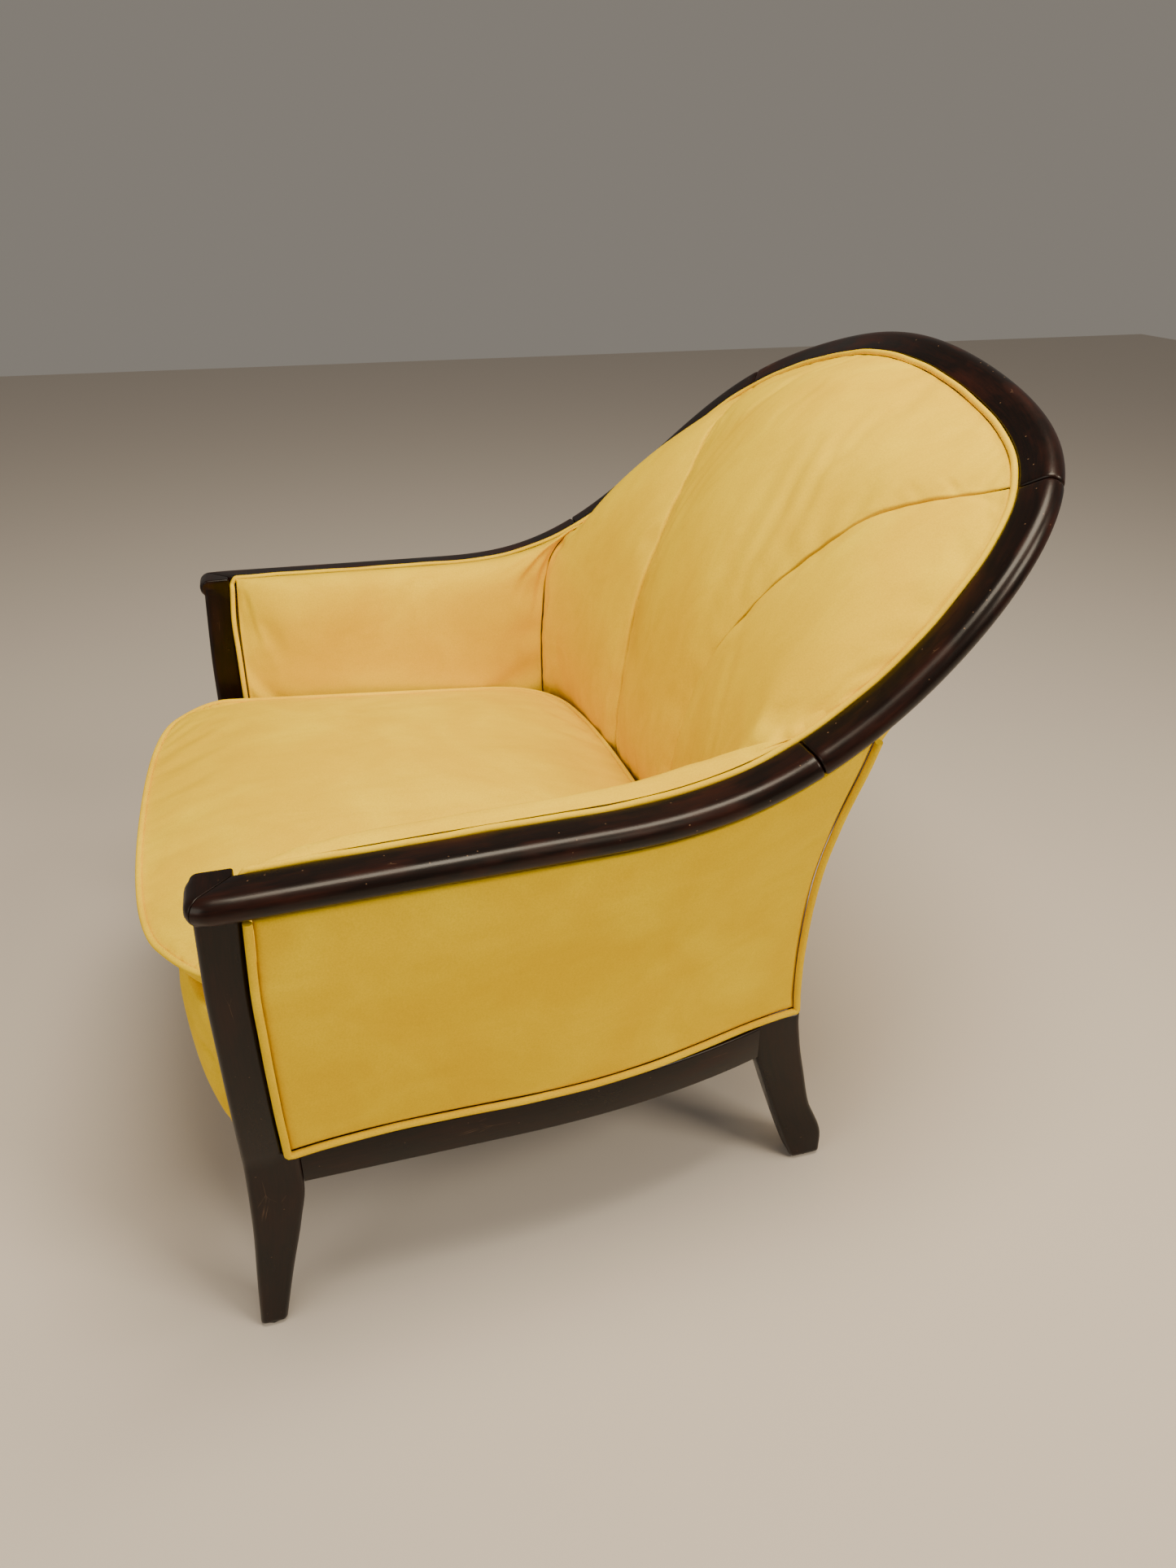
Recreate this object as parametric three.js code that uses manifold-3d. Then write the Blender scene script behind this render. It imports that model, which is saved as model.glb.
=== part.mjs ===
// An upholstered tub armchair: a show-wood frame with a raked horseshoe rail, channelled inside
// back, padded arms and a loose crowned seat cushion. Millimetres, +Z up, the front faces -Y and
// the sitter's left is +X. Everything is mirrored about the plane X = 0.
import * as THREE from "three";
import { mergeVertices } from "three/addons/utils/BufferGeometryUtils.js";
import Module from "manifold-3d";

const wasm = await Module();
wasm.setup();

// Clearance between pieces that touch on the real chair.
const GAP = 0.4;

// The horseshoe rail, by its inner top edge.
const ARM_FRONT_Y = -261;
const ARM_HALF_FRONT = 355;
const ARM_HALF_BACK = 340;
const ARM_HEIGHT = 524;
const RING_CENTRE_Y = 100;
const RING_DEPTH = 347;
const RING_POWER = 4.4;
const RISE_FROM_Y = 0;
const RISE_TO_Y = 367;
const RISE_SLOPE = 0.967;
const CREST_CROWN = 34;
const CREST_HALF = 280;

// The rail's section: flat on the inside, half round on the outside.
const RAIL_WIDTH = 36;
const CREST_WIDTH = 31;
const RAIL_THICK = 23.5;
const RAIL_EASE = 1.2;
const ARM_RAIL_LENGTH = 900;
const NOSE_CORNER = 11;
const NOSE_INSET = 9;

// Places along the rim: 0 is the front of the left arm, 1 the middle of the crest, 2 the right arm.
const ARM_SHARE = 0.38;
const ARM_JOINT = 0.488;
const CREST_JOINT = 0.713;
const STILE_PLACE = 0.556;

// Seat rails and the heights of the seat.
const SEAT_HALF = 334;
const SEAT_BEND_Y = -61;
const SEAT_BEND_DEPTH = 554;
const SEAT_BEND_POWER = 2.17;
const SEAT_RAIL_TOP = 217;
const SEAT_RAIL_BOTTOM = 177;
const SEAT_RAIL_THICK = 24;
const DECK_HEIGHT = 350;
const DECK_THICK = 80;
const SEAT_SLOPE = 0.07;
const WEB_THICK = 2;
const WEB_WIDTH = 56;

// Front posts and rear legs: the height of each station with its outer, front and back face.
const GLIDE_HEIGHT = 4;
const GLIDE_RADIUS = 10;
const POST_STATIONS = [
  { z: 0, outer: 338, front: -311, back: -287, width: 26 },
  { z: 70, outer: 338, front: -306, back: -272, width: 28 },
  { z: 130, outer: 338, front: -301, back: -258, width: 31 },
  { z: SEAT_RAIL_BOTTOM, outer: 338, front: -299, back: -250, width: 32 },
  { z: SEAT_RAIL_TOP, outer: 339, front: -298, back: -250, width: 32 },
  { z: 221, outer: 340, front: -298, back: -263, width: 32 },
  { z: 400, outer: 364, front: -297, back: -263, width: 33 },
  { z: ARM_HEIGHT - RAIL_THICK / 2, outer: 379, front: -292, back: -258, width: 34 },
];
const LEG_STATIONS = [
  { z: 0, outer: 290, front: 268, back: 303, width: 28 },
  { z: 24, outer: 290, front: 260, back: 303, width: 28 },
  { z: 85, outer: 289, front: 239, back: 282, width: 29 },
  { z: 125, outer: 289, front: 226, back: 273, width: 30 },
  { z: SEAT_RAIL_BOTTOM, outer: 290, front: 211, back: 262, width: 30 },
  { z: SEAT_RAIL_TOP, outer: 291, front: 208, back: 257, width: 30 },
  { z: 218, outer: 283, front: 226, back: 257, width: 21 },
  { z: 245, outer: 284, front: 226, back: 254, width: 18 },
  { z: 375, outer: 298, front: 226, back: 248, width: 17 },
  { z: 430, outer: 312, front: 228, back: 249, width: 17 },
  { z: 518, outer: 342, front: 234, back: 256, width: 17 },
  { z: 620, outer: 366, front: 248, back: 272, width: 19 },
];
const LEG_CORNER = 5;

// Upholstery.
const WELT_RADIUS = 3;
const WELT_ROOM = 2 * WELT_RADIUS + 4 * GAP;
const UNDER_RAIL = 5;
const PAD_EDGE = 0.8;
const ARM_PAD_THICK = 15;
const BACK_PAD_THICK = 45;
const ARM_ROLL_IN = 30;
const ARM_ROLL_UP = 12;
const ARM_ROLL_START = 0.7;
const ARM_PLUMP_FROM = 0.25;
const ARM_PLUMP_TO = 0.8;
const CHANNEL_BULGE = 20;
const PANEL_THICK = 4;
const PANEL_BULGE = 4;
const PANEL_START = 0.012;
const PANEL_SHORT_OF_STILE = 0.026;
const PANEL_OVER_STILE = WELT_RADIUS + 3;
const PANEL_WELT_SINK = 2;
const PAD_HALF_LOW = 303;
const PAD_START = 0.004;
const PAD_OVER_DECK = 2;
const CENTRE_SEAM = [
  [87, 175, 322],
  [90, 178, 400],
  [105, 202, 520],
  [130, 240, 600],
  [165, 287, 665],
  [205, 332, 710],
];
const ARM_SEAM = [
  [289, 134, 322],
  [291, 133, 368],
  [301, 137, 447],
  [320, 156, 529],
];
const ARM_SEAM_PLACE = 0.494;
const CENTRE_SEAM_PLACE = 0.716;
const RIM_WELT_START = 0.008;

// The loose seat cushion, by its seam line seen from above.
const CUSHION_HALF = 292;
const CUSHION_FRONT = -371;
const CUSHION_BACK = 170;
const CUSHION_FRONT_BOW = 26;
const CUSHION_CORNER = 62;
const CUSHION_CORNER_PULL = 1.28;
const CUSHION_BACK_CORNER = 78;
const CUSHION_BACK_BOW = 30;
const CUSHION_BOX = 30;
const CUSHION_CROWN = 44;
const CUSHION_UNDERCUT = 12;

// The front apron, from its hem up to the deck: how far it bows out at each height.
const APRON_SET_BACK = 36;
const APRON_LEVELS = [
  { z: 177, bow: 0.05 },
  { z: 185, bow: 0.15 },
  { z: 200, bow: 0.4 },
  { z: 220, bow: 0.72 },
  { z: 250, bow: 0.97 },
  { z: 290, bow: 1 },
  { z: 320, bow: 1 },
  { z: 342, bow: 0.97 },
  { z: 351, bow: 0.86 },
];

// Joinery.
const DOWEL_RADIUS = 4;
const DOWEL_LENGTH = 32;
const SCREW_RADIUS = 2;
const SCREW_HEAD_RADIUS = 4;
const SCREW_LENGTH = 34;
const BLOCK_LENGTH = 62;

const darkWood = { color: 0x23150f, roughness: 0.32, metalness: 0 };
const paleWood = { color: 0xb08a5c, roughness: 0.7, metalness: 0 };
const velvet = { color: 0xe9bd3c, roughness: 0.85, metalness: 0 };
const webbing = { color: 0x3a3733, roughness: 0.9, metalness: 0 };
const lining = { color: 0x1d1c1b, roughness: 0.95, metalness: 0 };
const steel = { color: 0x8d8f92, roughness: 0.35, metalness: 1 };
const nylon = { color: 0x2b2b2b, roughness: 0.5, metalness: 0 };

const point = (x, y, z) => new THREE.Vector3(x, y, z);
const mix = THREE.MathUtils.lerp;

// ---- closed solids from rings and grids ----

function geometryOf(positions, triangles) {
  const geometry = new THREE.BufferGeometry();
  geometry.setAttribute("position", new THREE.Float32BufferAttribute(positions.flat(), 3));
  geometry.setIndex(triangles.flat());
  return geometry;
}

function signedVolume(positions, triangles) {
  let total = 0;
  for (const [a, b, c] of triangles) {
    const cross = point(...positions[b]).cross(point(...positions[c]));
    total += point(...positions[a]).dot(cross);
  }
  return total;
}

function facingOut(positions, triangles) {
  if (signedVolume(positions, triangles) > 0) return geometryOf(positions, triangles);
  return geometryOf(positions, triangles.map(([a, b, c]) => [a, c, b]));
}

// Joins equal rings of points and caps both ends; outline is the ring's flat shape, for the caps.
function ringSolid(rings, outline) {
  const count = rings[0].length;
  const positions = rings.flat().map((corner) => corner.toArray());
  const triangles = [];
  for (let ring = 0; ring + 1 < rings.length; ring++) {
    for (let i = 0; i < count; i++) {
      const a = ring * count + i;
      const b = ring * count + ((i + 1) % count);
      triangles.push([a, b, b + count], [a, b + count, a + count]);
    }
  }
  const last = (rings.length - 1) * count;
  const clockwise = THREE.ShapeUtils.area(outline) < 0;
  for (const [a, second, third] of THREE.ShapeUtils.triangulateShape([...outline], [])) {
    const [b, c] = clockwise ? [third, second] : [second, third];
    triangles.push([a, c, b], [last + a, last + b, last + c]);
  }
  return facingOut(positions, triangles);
}

// A closed ring of points (the same at both ends of the path): rings joined end to end.
function loopSolid(rings) {
  const count = rings[0].length;
  const positions = rings.flat().map((corner) => corner.toArray());
  const triangles = [];
  rings.forEach((_, ring) => {
    const next = (ring + 1) % rings.length;
    for (let i = 0; i < count; i++) {
      const j = (i + 1) % count;
      triangles.push([ring * count + i, ring * count + j, next * count + j]);
      triangles.push([ring * count + i, next * count + j, next * count + i]);
    }
  });
  return facingOut(positions, triangles);
}

// The solid between two offsets of a surface, over part of its length p and height v. An offset
// is a distance along the outward normal, or a function of p and v that gives one.
function shell(surface, { p = [0, 1], v = [0, 1], offsets, steps }) {
  const [across, up] = steps;
  const positions = [];
  for (const offset of offsets) {
    for (let i = 0; i <= across; i++) {
      for (let j = 0; j <= up; j++) {
        const at = [mix(...p, i / across), mix(...v, j / up)];
        const distance = typeof offset === "function" ? offset(...at) : offset;
        positions.push(offsetPoint(surface, at, distance).toArray());
      }
    }
  }
  const row = up + 1;
  const far = (across + 1) * row;
  const triangles = [];
  const quad = (a, b, c, d) => triangles.push([a, b, c], [a, c, d]);
  for (let i = 0; i < across; i++) {
    for (let j = 0; j < up; j++) {
      const a = i * row + j;
      quad(a, a + row, a + row + 1, a + 1);
      quad(far + a, far + a + 1, far + a + row + 1, far + a + row);
    }
  }
  for (let i = 0; i < across; i++) {
    quad(i * row, far + i * row, far + (i + 1) * row, (i + 1) * row);
    const a = i * row + up;
    quad(a, a + row, far + a + row, far + a);
  }
  for (let j = 0; j < up; j++) {
    quad(j, j + 1, far + j + 1, far + j);
    const a = across * row + j;
    quad(a, far + a, far + a + 1, a + 1);
  }
  return facingOut(positions, triangles);
}

// The outward normal of a surface that runs from the left arm round the back.
function normalAt(surface, [p, v]) {
  const step = 0.01;
  const [p0, p1] = [Math.max(p - step, 0), Math.min(p + step, 1)];
  const [v0, v1] = [Math.max(v - step, 0), Math.min(v + step, 1)];
  const along = surface(p1, v).sub(surface(p0, v));
  const upward = surface(p, v1).sub(surface(p, v0));
  return along.cross(upward).normalize();
}

function offsetPoint(surface, [p, v], distance) {
  return surface(p, v).addScaledVector(normalAt(surface, [p, v]), distance);
}

// A patch that fills four edge curves, swelling outward by swell in its middle.
function patch(bottom, top, front, rear, swell) {
  const flat = (p, v) =>
    point(0, 0, 0)
      .addScaledVector(bottom(p), 1 - v)
      .addScaledVector(top(p), v)
      .addScaledVector(front(v), 1 - p)
      .addScaledVector(rear(v), p)
      .addScaledVector(bottom(0), -(1 - p) * (1 - v))
      .addScaledVector(bottom(1), -p * (1 - v))
      .addScaledVector(top(0), -(1 - p) * v)
      .addScaledVector(top(1), -p * v);
  const hump = (s) => Math.sin(Math.PI * THREE.MathUtils.clamp(s, 0, 1)) ** 0.75;
  return (p, v) => offsetPoint(flat, [p, v], swell * hump(p) * hump(v));
}

// ---- joins and cuts ----

function solidOf(geometry) {
  const bare = geometry.clone();
  bare.deleteAttribute("normal");
  bare.deleteAttribute("uv");
  const merged = mergeVertices(bare, 1e-4);
  return new wasm.Manifold(
    new wasm.Mesh({
      numProp: 3,
      vertProperties: merged.attributes.position.array,
      triVerts: new Uint32Array(merged.index.array),
    }),
  );
}

function geometryFrom(solid) {
  const mesh = solid.getMesh();
  const geometry = new THREE.BufferGeometry();
  geometry.setAttribute("position", new THREE.BufferAttribute(mesh.vertProperties, 3));
  geometry.setIndex(new THREE.BufferAttribute(mesh.triVerts, 1));
  return geometry;
}

// An extruded outline of plan points, between two heights.
function prism(outline, low, high) {
  const shape = new THREE.Shape(outline.map(([x, y]) => new THREE.Vector2(x, y)));
  const geometry = new THREE.ExtrudeGeometry(shape, { depth: high - low, bevelEnabled: false });
  return geometry.translate(0, 0, low);
}

// A turned pin from start along direction, with an optional wider head at its start.
function pin(start, direction, radius, length, headRadius = radius) {
  const sink = headRadius - radius;
  const profile = [
    [0, 0],
    [headRadius, 0],
    ...(sink > 0 ? [[radius, sink]] : []),
    [radius, length],
    [0, length],
  ];
  const geometry = new THREE.LatheGeometry(profile.map(([x, y]) => new THREE.Vector2(x, y)), 12);
  const turn = new THREE.Quaternion();
  turn.setFromUnitVectors(point(0, 1, 0), direction.clone().normalize());
  return geometry.applyQuaternion(turn).translate(...start.toArray());
}

// ---- the rim: the inner top edge of the horseshoe rail ----

function riseSlope(y) {
  const s = THREE.MathUtils.clamp((y - RISE_FROM_Y) / (RISE_TO_Y - RISE_FROM_Y), 0, 1);
  return RISE_SLOPE * (3 * s * s - 2 * s ** 3);
}

function rimHeight(x, y) {
  const span = RISE_TO_Y - RISE_FROM_Y;
  const s = THREE.MathUtils.clamp((y - RISE_FROM_Y) / span, 0, 1);
  const ramp = RISE_SLOPE * span * (s ** 3 - s ** 4 / 2);
  const beyond = RISE_SLOPE * Math.max(y - RISE_TO_Y, 0);
  const turn = THREE.MathUtils.clamp(Math.abs(x) / CREST_HALF, 0, 1);
  const crown = CREST_CROWN * Math.cos((Math.PI / 2) * turn) ** 2;
  return ARM_HEIGHT + ramp + beyond + crown;
}

function rim(place) {
  if (place > 1) return rim(2 - place).multiply(point(-1, 1, 1));
  if (place < ARM_SHARE) {
    const y = mix(ARM_FRONT_Y, RING_CENTRE_Y, place / ARM_SHARE);
    const ahead = Math.min((RING_CENTRE_Y - y) / (RING_CENTRE_Y - ARM_FRONT_Y), 1);
    const x = ARM_HALF_BACK + (ARM_HALF_FRONT - ARM_HALF_BACK) * ahead ** 1.2;
    return point(x, y, rimHeight(x, y));
  }
  const angle = (Math.PI / 2) * ((place - ARM_SHARE) / (1 - ARM_SHARE));
  const across = Math.cos(angle) / ARM_HALF_BACK;
  const back = Math.sin(angle) / RING_DEPTH;
  const radius = (across ** RING_POWER + back ** RING_POWER) ** (-1 / RING_POWER);
  const x = radius * Math.cos(angle);
  const y = RING_CENTRE_Y + radius * Math.sin(angle);
  return point(x, y, rimHeight(x, y));
}

// The rail's axes at a place: along it, outward across it, and up out of its top face.
function rimFrame(place) {
  const step = 0.002;
  const along = rim(place + step).sub(rim(place - step)).normalize();
  const at = rim(place);
  const lean = Math.atan(riseSlope(at.y));
  const up = point(0, -Math.sin(lean), Math.cos(lean));
  up.addScaledVector(along, -up.dot(along)).normalize();
  return { at, along, up, out: along.clone().cross(up) };
}

function rimOffset(place, out, up) {
  const frame = rimFrame(place);
  return frame.at.addScaledVector(frame.out, out).addScaledVector(frame.up, up);
}

function railWidth(place) {
  return mix(RAIL_WIDTH, CREST_WIDTH, THREE.MathUtils.smoothstep(1 - Math.abs(1 - place), 0.4, 1));
}

// The rail's section as [outward, upward] pairs, grown by a clearance.
function railSection(width, grow) {
  const radius = RAIL_THICK / 2;
  const section = [[-grow, grow]];
  for (let i = 0; i <= 6; i++) {
    const angle = Math.PI / 2 - (Math.PI * i) / 6;
    const reach = radius + grow;
    section.push([width - radius + reach * Math.cos(angle), -radius + reach * Math.sin(angle)]);
  }
  section.push([-grow, -RAIL_THICK - grow]);
  return section;
}

function railRing(place, grow) {
  const { at, out, up } = rimFrame(place);
  return railSection(railWidth(place), grow).map(([across, high]) =>
    at.clone().addScaledVector(out, across).addScaledVector(up, high),
  );
}

function railSweep(from, to, steps, grow) {
  const rings = [];
  for (let i = 0; i <= steps; i++) rings.push(railRing(mix(from, to, i / steps), grow));
  const outline = railSection(RAIL_WIDTH, grow).map(([x, y]) => new THREE.Vector2(x, y));
  return ringSolid(rings, outline);
}

// One length of rail between two joints, its ends eased so that the joint shows as a fine groove.
function railLength(from, to, steps) {
  const easePlace = RAIL_EASE / ARM_RAIL_LENGTH;
  const start = from + GAP / 2 / ARM_RAIL_LENGTH;
  const end = to - GAP / 2 / ARM_RAIL_LENGTH;
  const rings = [railRing(start, -RAIL_EASE)];
  for (let i = 0; i <= steps; i++) {
    rings.push(railRing(mix(start + easePlace, end - easePlace, i / steps), 0));
  }
  rings.push(railRing(end, -RAIL_EASE));
  const outline = railSection(RAIL_WIDTH, 0).map(([x, y]) => new THREE.Vector2(x, y));
  return ringSolid(rings, outline);
}

// ---- the arm's front corner, where rail and post meet in a mitre ----

const NOSE_FRONT = ARM_FRONT_Y - RAIL_WIDTH;
const NOSE_OUTER = ARM_HALF_FRONT + RAIL_WIDTH;
const NOSE_PLACE = ((NOSE_FRONT - 4 - ARM_FRONT_Y) / (RING_CENTRE_Y - ARM_FRONT_Y)) * ARM_SHARE;
const FAR = 900;

// The half of space on the rail's side of the mitre, moved towards the post by shift.
function mitreHalf(shift, railSide) {
  const reach = railSide ? FAR : -FAR;
  const start = [ARM_HALF_FRONT - FAR - shift, ARM_FRONT_Y + FAR - shift];
  const end = [ARM_HALF_FRONT + FAR - shift, ARM_FRONT_Y - FAR - shift];
  const corners = [start, end, [end[0] + reach, end[1] + reach], [start[0] + reach, start[1] + reach]];
  return solidOf(prism(railSide ? corners : corners.reverse(), -FAR, 2 * FAR));
}

// Rounds the arm's front corner when seen from above.
function noseOutline() {
  const shape = new THREE.Shape();
  const inner = ARM_HALF_FRONT - NOSE_INSET;
  shape.moveTo(-FAR, FAR);
  shape.lineTo(-FAR, ARM_FRONT_Y + 40);
  shape.lineTo(inner, ARM_FRONT_Y + 40);
  shape.lineTo(inner, NOSE_FRONT + NOSE_CORNER);
  shape.absarc(inner + NOSE_CORNER, NOSE_FRONT + NOSE_CORNER, NOSE_CORNER, Math.PI, Math.PI * 1.5);
  shape.absarc(NOSE_OUTER - NOSE_CORNER, NOSE_FRONT + NOSE_CORNER, NOSE_CORNER, -Math.PI / 2, 0);
  shape.lineTo(NOSE_OUTER, ARM_FRONT_Y + 60);
  shape.lineTo(FAR, ARM_FRONT_Y + 60);
  shape.lineTo(FAR, FAR);
  const solid = new THREE.ExtrudeGeometry(shape, { depth: FAR, bevelEnabled: false, curveSegments: 5 });
  return solidOf(solid);
}

// The post's own piece of rail section, which turns the corner across the front of the arm.
function noseReturn() {
  const section = railSection(RAIL_WIDTH, 0);
  const rings = [ARM_HALF_FRONT - NOSE_INSET, NOSE_OUTER].map((x) =>
    section.map(([across, high]) => point(x, ARM_FRONT_Y - across, ARM_HEIGHT + high)),
  );
  return ringSolid(rings, section.map(([x, y]) => new THREE.Vector2(x, y)));
}

// ---- posts and legs ----

function stationAt(stations, z) {
  const high = stations.findIndex((station) => station.z >= z);
  if (high <= 0) return { ...stations[high < 0 ? stations.length - 1 : 0], z };
  const [a, b] = [stations[high - 1], stations[high]];
  const s = (z - a.z) / (b.z - a.z);
  const between = (key) => mix(a[key], b[key], s);
  return {
    z,
    outer: between("outer"),
    front: between("front"),
    back: between("back"),
    width: between("width"),
  };
}

// A level ring with rounded corners round one station of a post or leg.
function stationRing({ z, outer, front, back, width }) {
  const ring = [];
  const corners = [
    [outer - LEG_CORNER, back - LEG_CORNER, 0],
    [outer - width + LEG_CORNER, back - LEG_CORNER, Math.PI / 2],
    [outer - width + LEG_CORNER, front + LEG_CORNER, Math.PI],
    [outer - LEG_CORNER, front + LEG_CORNER, Math.PI * 1.5],
  ];
  for (const [x, y, turn] of corners) {
    for (let i = 0; i <= 2; i++) {
      const angle = turn + (Math.PI / 4) * i;
      ring.push(point(x + LEG_CORNER * Math.cos(angle), y + LEG_CORNER * Math.sin(angle), z));
    }
  }
  return ring;
}

function postSolid(stations) {
  const foot = stationAt(stations, GLIDE_HEIGHT + GAP);
  const used = [foot, ...stations.filter((station) => station.z > foot.z + 1)];
  const rings = used.map(stationRing);
  const outline = rings[0].map((corner) => new THREE.Vector2(corner.x, corner.y));
  return solidOf(ringSolid(rings, outline));
}

function frontPost() {
  const rail = solidOf(railSweep(NOSE_PLACE, 0.1, 4, GAP));
  const cutter = rail.intersect(mitreHalf(GAP, true));
  const post = postSolid(POST_STATIONS).subtract(cutter);
  const nose = solidOf(noseReturn()).intersect(mitreHalf(GAP, false)).intersect(noseOutline());
  return post.add(nose).subtract(solidOf(mitreDowel(GAP)));
}

function rearLeg() {
  return postSolid(LEG_STATIONS).subtract(aboveRail());
}

// What lies above the rail's underside where a stile meets it.
function aboveRail() {
  const places = Array.from({ length: 9 }, (_, i) => STILE_PLACE - 0.08 + 0.02 * i);
  const rings = places.map((place) =>
    [
      [-60, -RAIL_THICK - 3 * GAP],
      [80, -RAIL_THICK - 3 * GAP],
      [80, 80],
      [-60, 80],
    ].map(([out, up]) => rimOffset(place, out, up)),
  );
  const outline = [[-60, 0], [80, 0], [80, 80], [-60, 80]].map(([x, y]) => new THREE.Vector2(x, y));
  return solidOf(ringSolid(rings, outline));
}

function footCentre(stations) {
  const { outer, width, front, back } = stations[0];
  return point(outer - width / 2, (front + back) / 2, 0);
}

function glide(stations) {
  return pin(footCentre(stations), point(0, 0, 1), GLIDE_RADIUS, GLIDE_HEIGHT);
}

// ---- dowels ----

function railDowel(place, grow) {
  const { along } = rimFrame(place);
  const half = DOWEL_LENGTH / 2 + grow;
  const centre = rimOffset(place, railWidth(place) * 0.45, -RAIL_THICK / 2);
  return pin(centre.addScaledVector(along, -half), along, DOWEL_RADIUS + grow, 2 * half);
}

function mitreDowel(grow) {
  const across = point(1, 1, 0).normalize();
  const half = DOWEL_LENGTH / 4 + grow;
  const middle = RAIL_WIDTH * 0.42;
  const height = ARM_HEIGHT - RAIL_THICK / 2;
  const centre = point(ARM_HALF_FRONT + middle, ARM_FRONT_Y - middle, height);
  return pin(centre.addScaledVector(across, -half), across, DOWEL_RADIUS + grow, 2 * half);
}

function armRail() {
  return solidOf(railLength(NOSE_PLACE, ARM_JOINT, 14))
    .intersect(mitreHalf(0, true))
    .intersect(noseOutline())
    .subtract(solidOf(mitreDowel(GAP)))
    .subtract(solidOf(railDowel(ARM_JOINT, GAP)));
}

function backRail() {
  return solidOf(railLength(ARM_JOINT, CREST_JOINT, 10))
    .subtract(solidOf(railDowel(ARM_JOINT, GAP)))
    .subtract(solidOf(railDowel(CREST_JOINT, GAP)));
}

function crestRail() {
  return solidOf(railLength(CREST_JOINT, 2 - CREST_JOINT, 20))
    .subtract(solidOf(railDowel(CREST_JOINT, GAP)))
    .subtract(solidOf(railDowel(2 - CREST_JOINT, GAP)));
}

// ---- seat frame ----

function seatRailOuter(y) {
  const bend = Math.max((y - SEAT_BEND_Y) / SEAT_BEND_DEPTH, 0);
  return SEAT_HALF * (1 - bend ** SEAT_BEND_POWER) ** (1 / SEAT_BEND_POWER);
}

const POST_SEAT = stationAt(POST_STATIONS, SEAT_RAIL_TOP);
const LEG_SEAT = stationAt(LEG_STATIONS, SEAT_RAIL_TOP);
const LEG_LOW = stationAt(LEG_STATIONS, SEAT_RAIL_BOTTOM);
const deckTop = (y) => DECK_HEIGHT - SEAT_SLOPE * (y + 300);
const webTop = (y) => deckTop(y) - DECK_THICK - GAP;

const FRONT_RAIL = { front: -296, back: -268 };
const REAR_RAIL = { front: 226, back: 250 };
const frontRailTop = webTop(FRONT_RAIL.back) - WEB_THICK - GAP;
const rearRailTop = webTop(REAR_RAIL.back) - WEB_THICK - GAP;

function boxBetween([x0, x1], [y0, y1], [z0, z1]) {
  const geometry = new THREE.BoxGeometry(x1 - x0, y1 - y0, z1 - z0);
  return geometry.translate((x0 + x1) / 2, (y0 + y1) / 2, (z0 + z1) / 2);
}

function frontSeatRail() {
  const low = stationAt(POST_STATIONS, SEAT_RAIL_BOTTOM);
  const half = low.outer - low.width - GAP;
  const height = [SEAT_RAIL_BOTTOM + 3, frontRailTop];
  return boxBetween([-half, half], [FRONT_RAIL.front, FRONT_RAIL.back], height);
}

function rearSeatRail() {
  const half = LEG_LOW.outer - LEG_LOW.width - GAP;
  const height = [SEAT_RAIL_BOTTOM, rearRailTop];
  const rail = boxBetween([-half, half], [REAR_RAIL.front, REAR_RAIL.back], height);
  return solidOf(rail).subtract(rearScrewHole).subtract(rearScrewHole.mirror([1, 0, 0]));
}

const BLOCK_LOW = SEAT_RAIL_BOTTOM + 8;
const BLOCK_HIGH = SEAT_RAIL_TOP - 7;
const SCREW_HEIGHT = (BLOCK_LOW + BLOCK_HIGH) / 2;
const RAIL_INNER_FRONT = SEAT_HALF - SEAT_RAIL_THICK;

const frontScrewStart = point(RAIL_INNER_FRONT - SCREW_LENGTH / 2, POST_SEAT.back + 14, SCREW_HEIGHT);
const rearScrewStart = point(
  LEG_LOW.outer - LEG_LOW.width - 24,
  REAR_RAIL.front - SCREW_LENGTH / 2,
  SCREW_HEIGHT,
);
const frontScrewAim = point(1, 0, 0);
const rearScrewAim = point(0, 1, 0);

const blockScrew = (start, aim) => pin(start, aim, SCREW_RADIUS, SCREW_LENGTH, SCREW_HEAD_RADIUS);

// A screw's hole, with a bore for its head that runs out of the block's face.
function screwHole(start, aim) {
  const shank = pin(start, aim, SCREW_RADIUS + GAP, SCREW_LENGTH + GAP, SCREW_HEAD_RADIUS + GAP);
  const seat = start.clone().addScaledVector(aim, GAP);
  const back = aim.clone().negate();
  return solidOf(shank).add(solidOf(pin(seat, back, SCREW_HEAD_RADIUS + GAP, BLOCK_LENGTH)));
}

const frontScrewHole = screwHole(frontScrewStart, frontScrewAim);
const rearScrewHole = screwHole(rearScrewStart, rearScrewAim);

function sideSeatRail() {
  const from = POST_SEAT.back + GAP;
  const to = LEG_SEAT.front - GAP;
  const outline = [];
  const steps = 14;
  for (let i = 0; i <= steps; i++) {
    const y = mix(from, to, i / steps);
    outline.push([seatRailOuter(y), y]);
  }
  for (let i = steps; i >= 0; i--) {
    const y = mix(from, to, i / steps);
    outline.push([seatRailOuter(y) - SEAT_RAIL_THICK, y]);
  }
  return solidOf(prism(outline, SEAT_RAIL_BOTTOM, SEAT_RAIL_TOP)).subtract(frontScrewHole);
}

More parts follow.
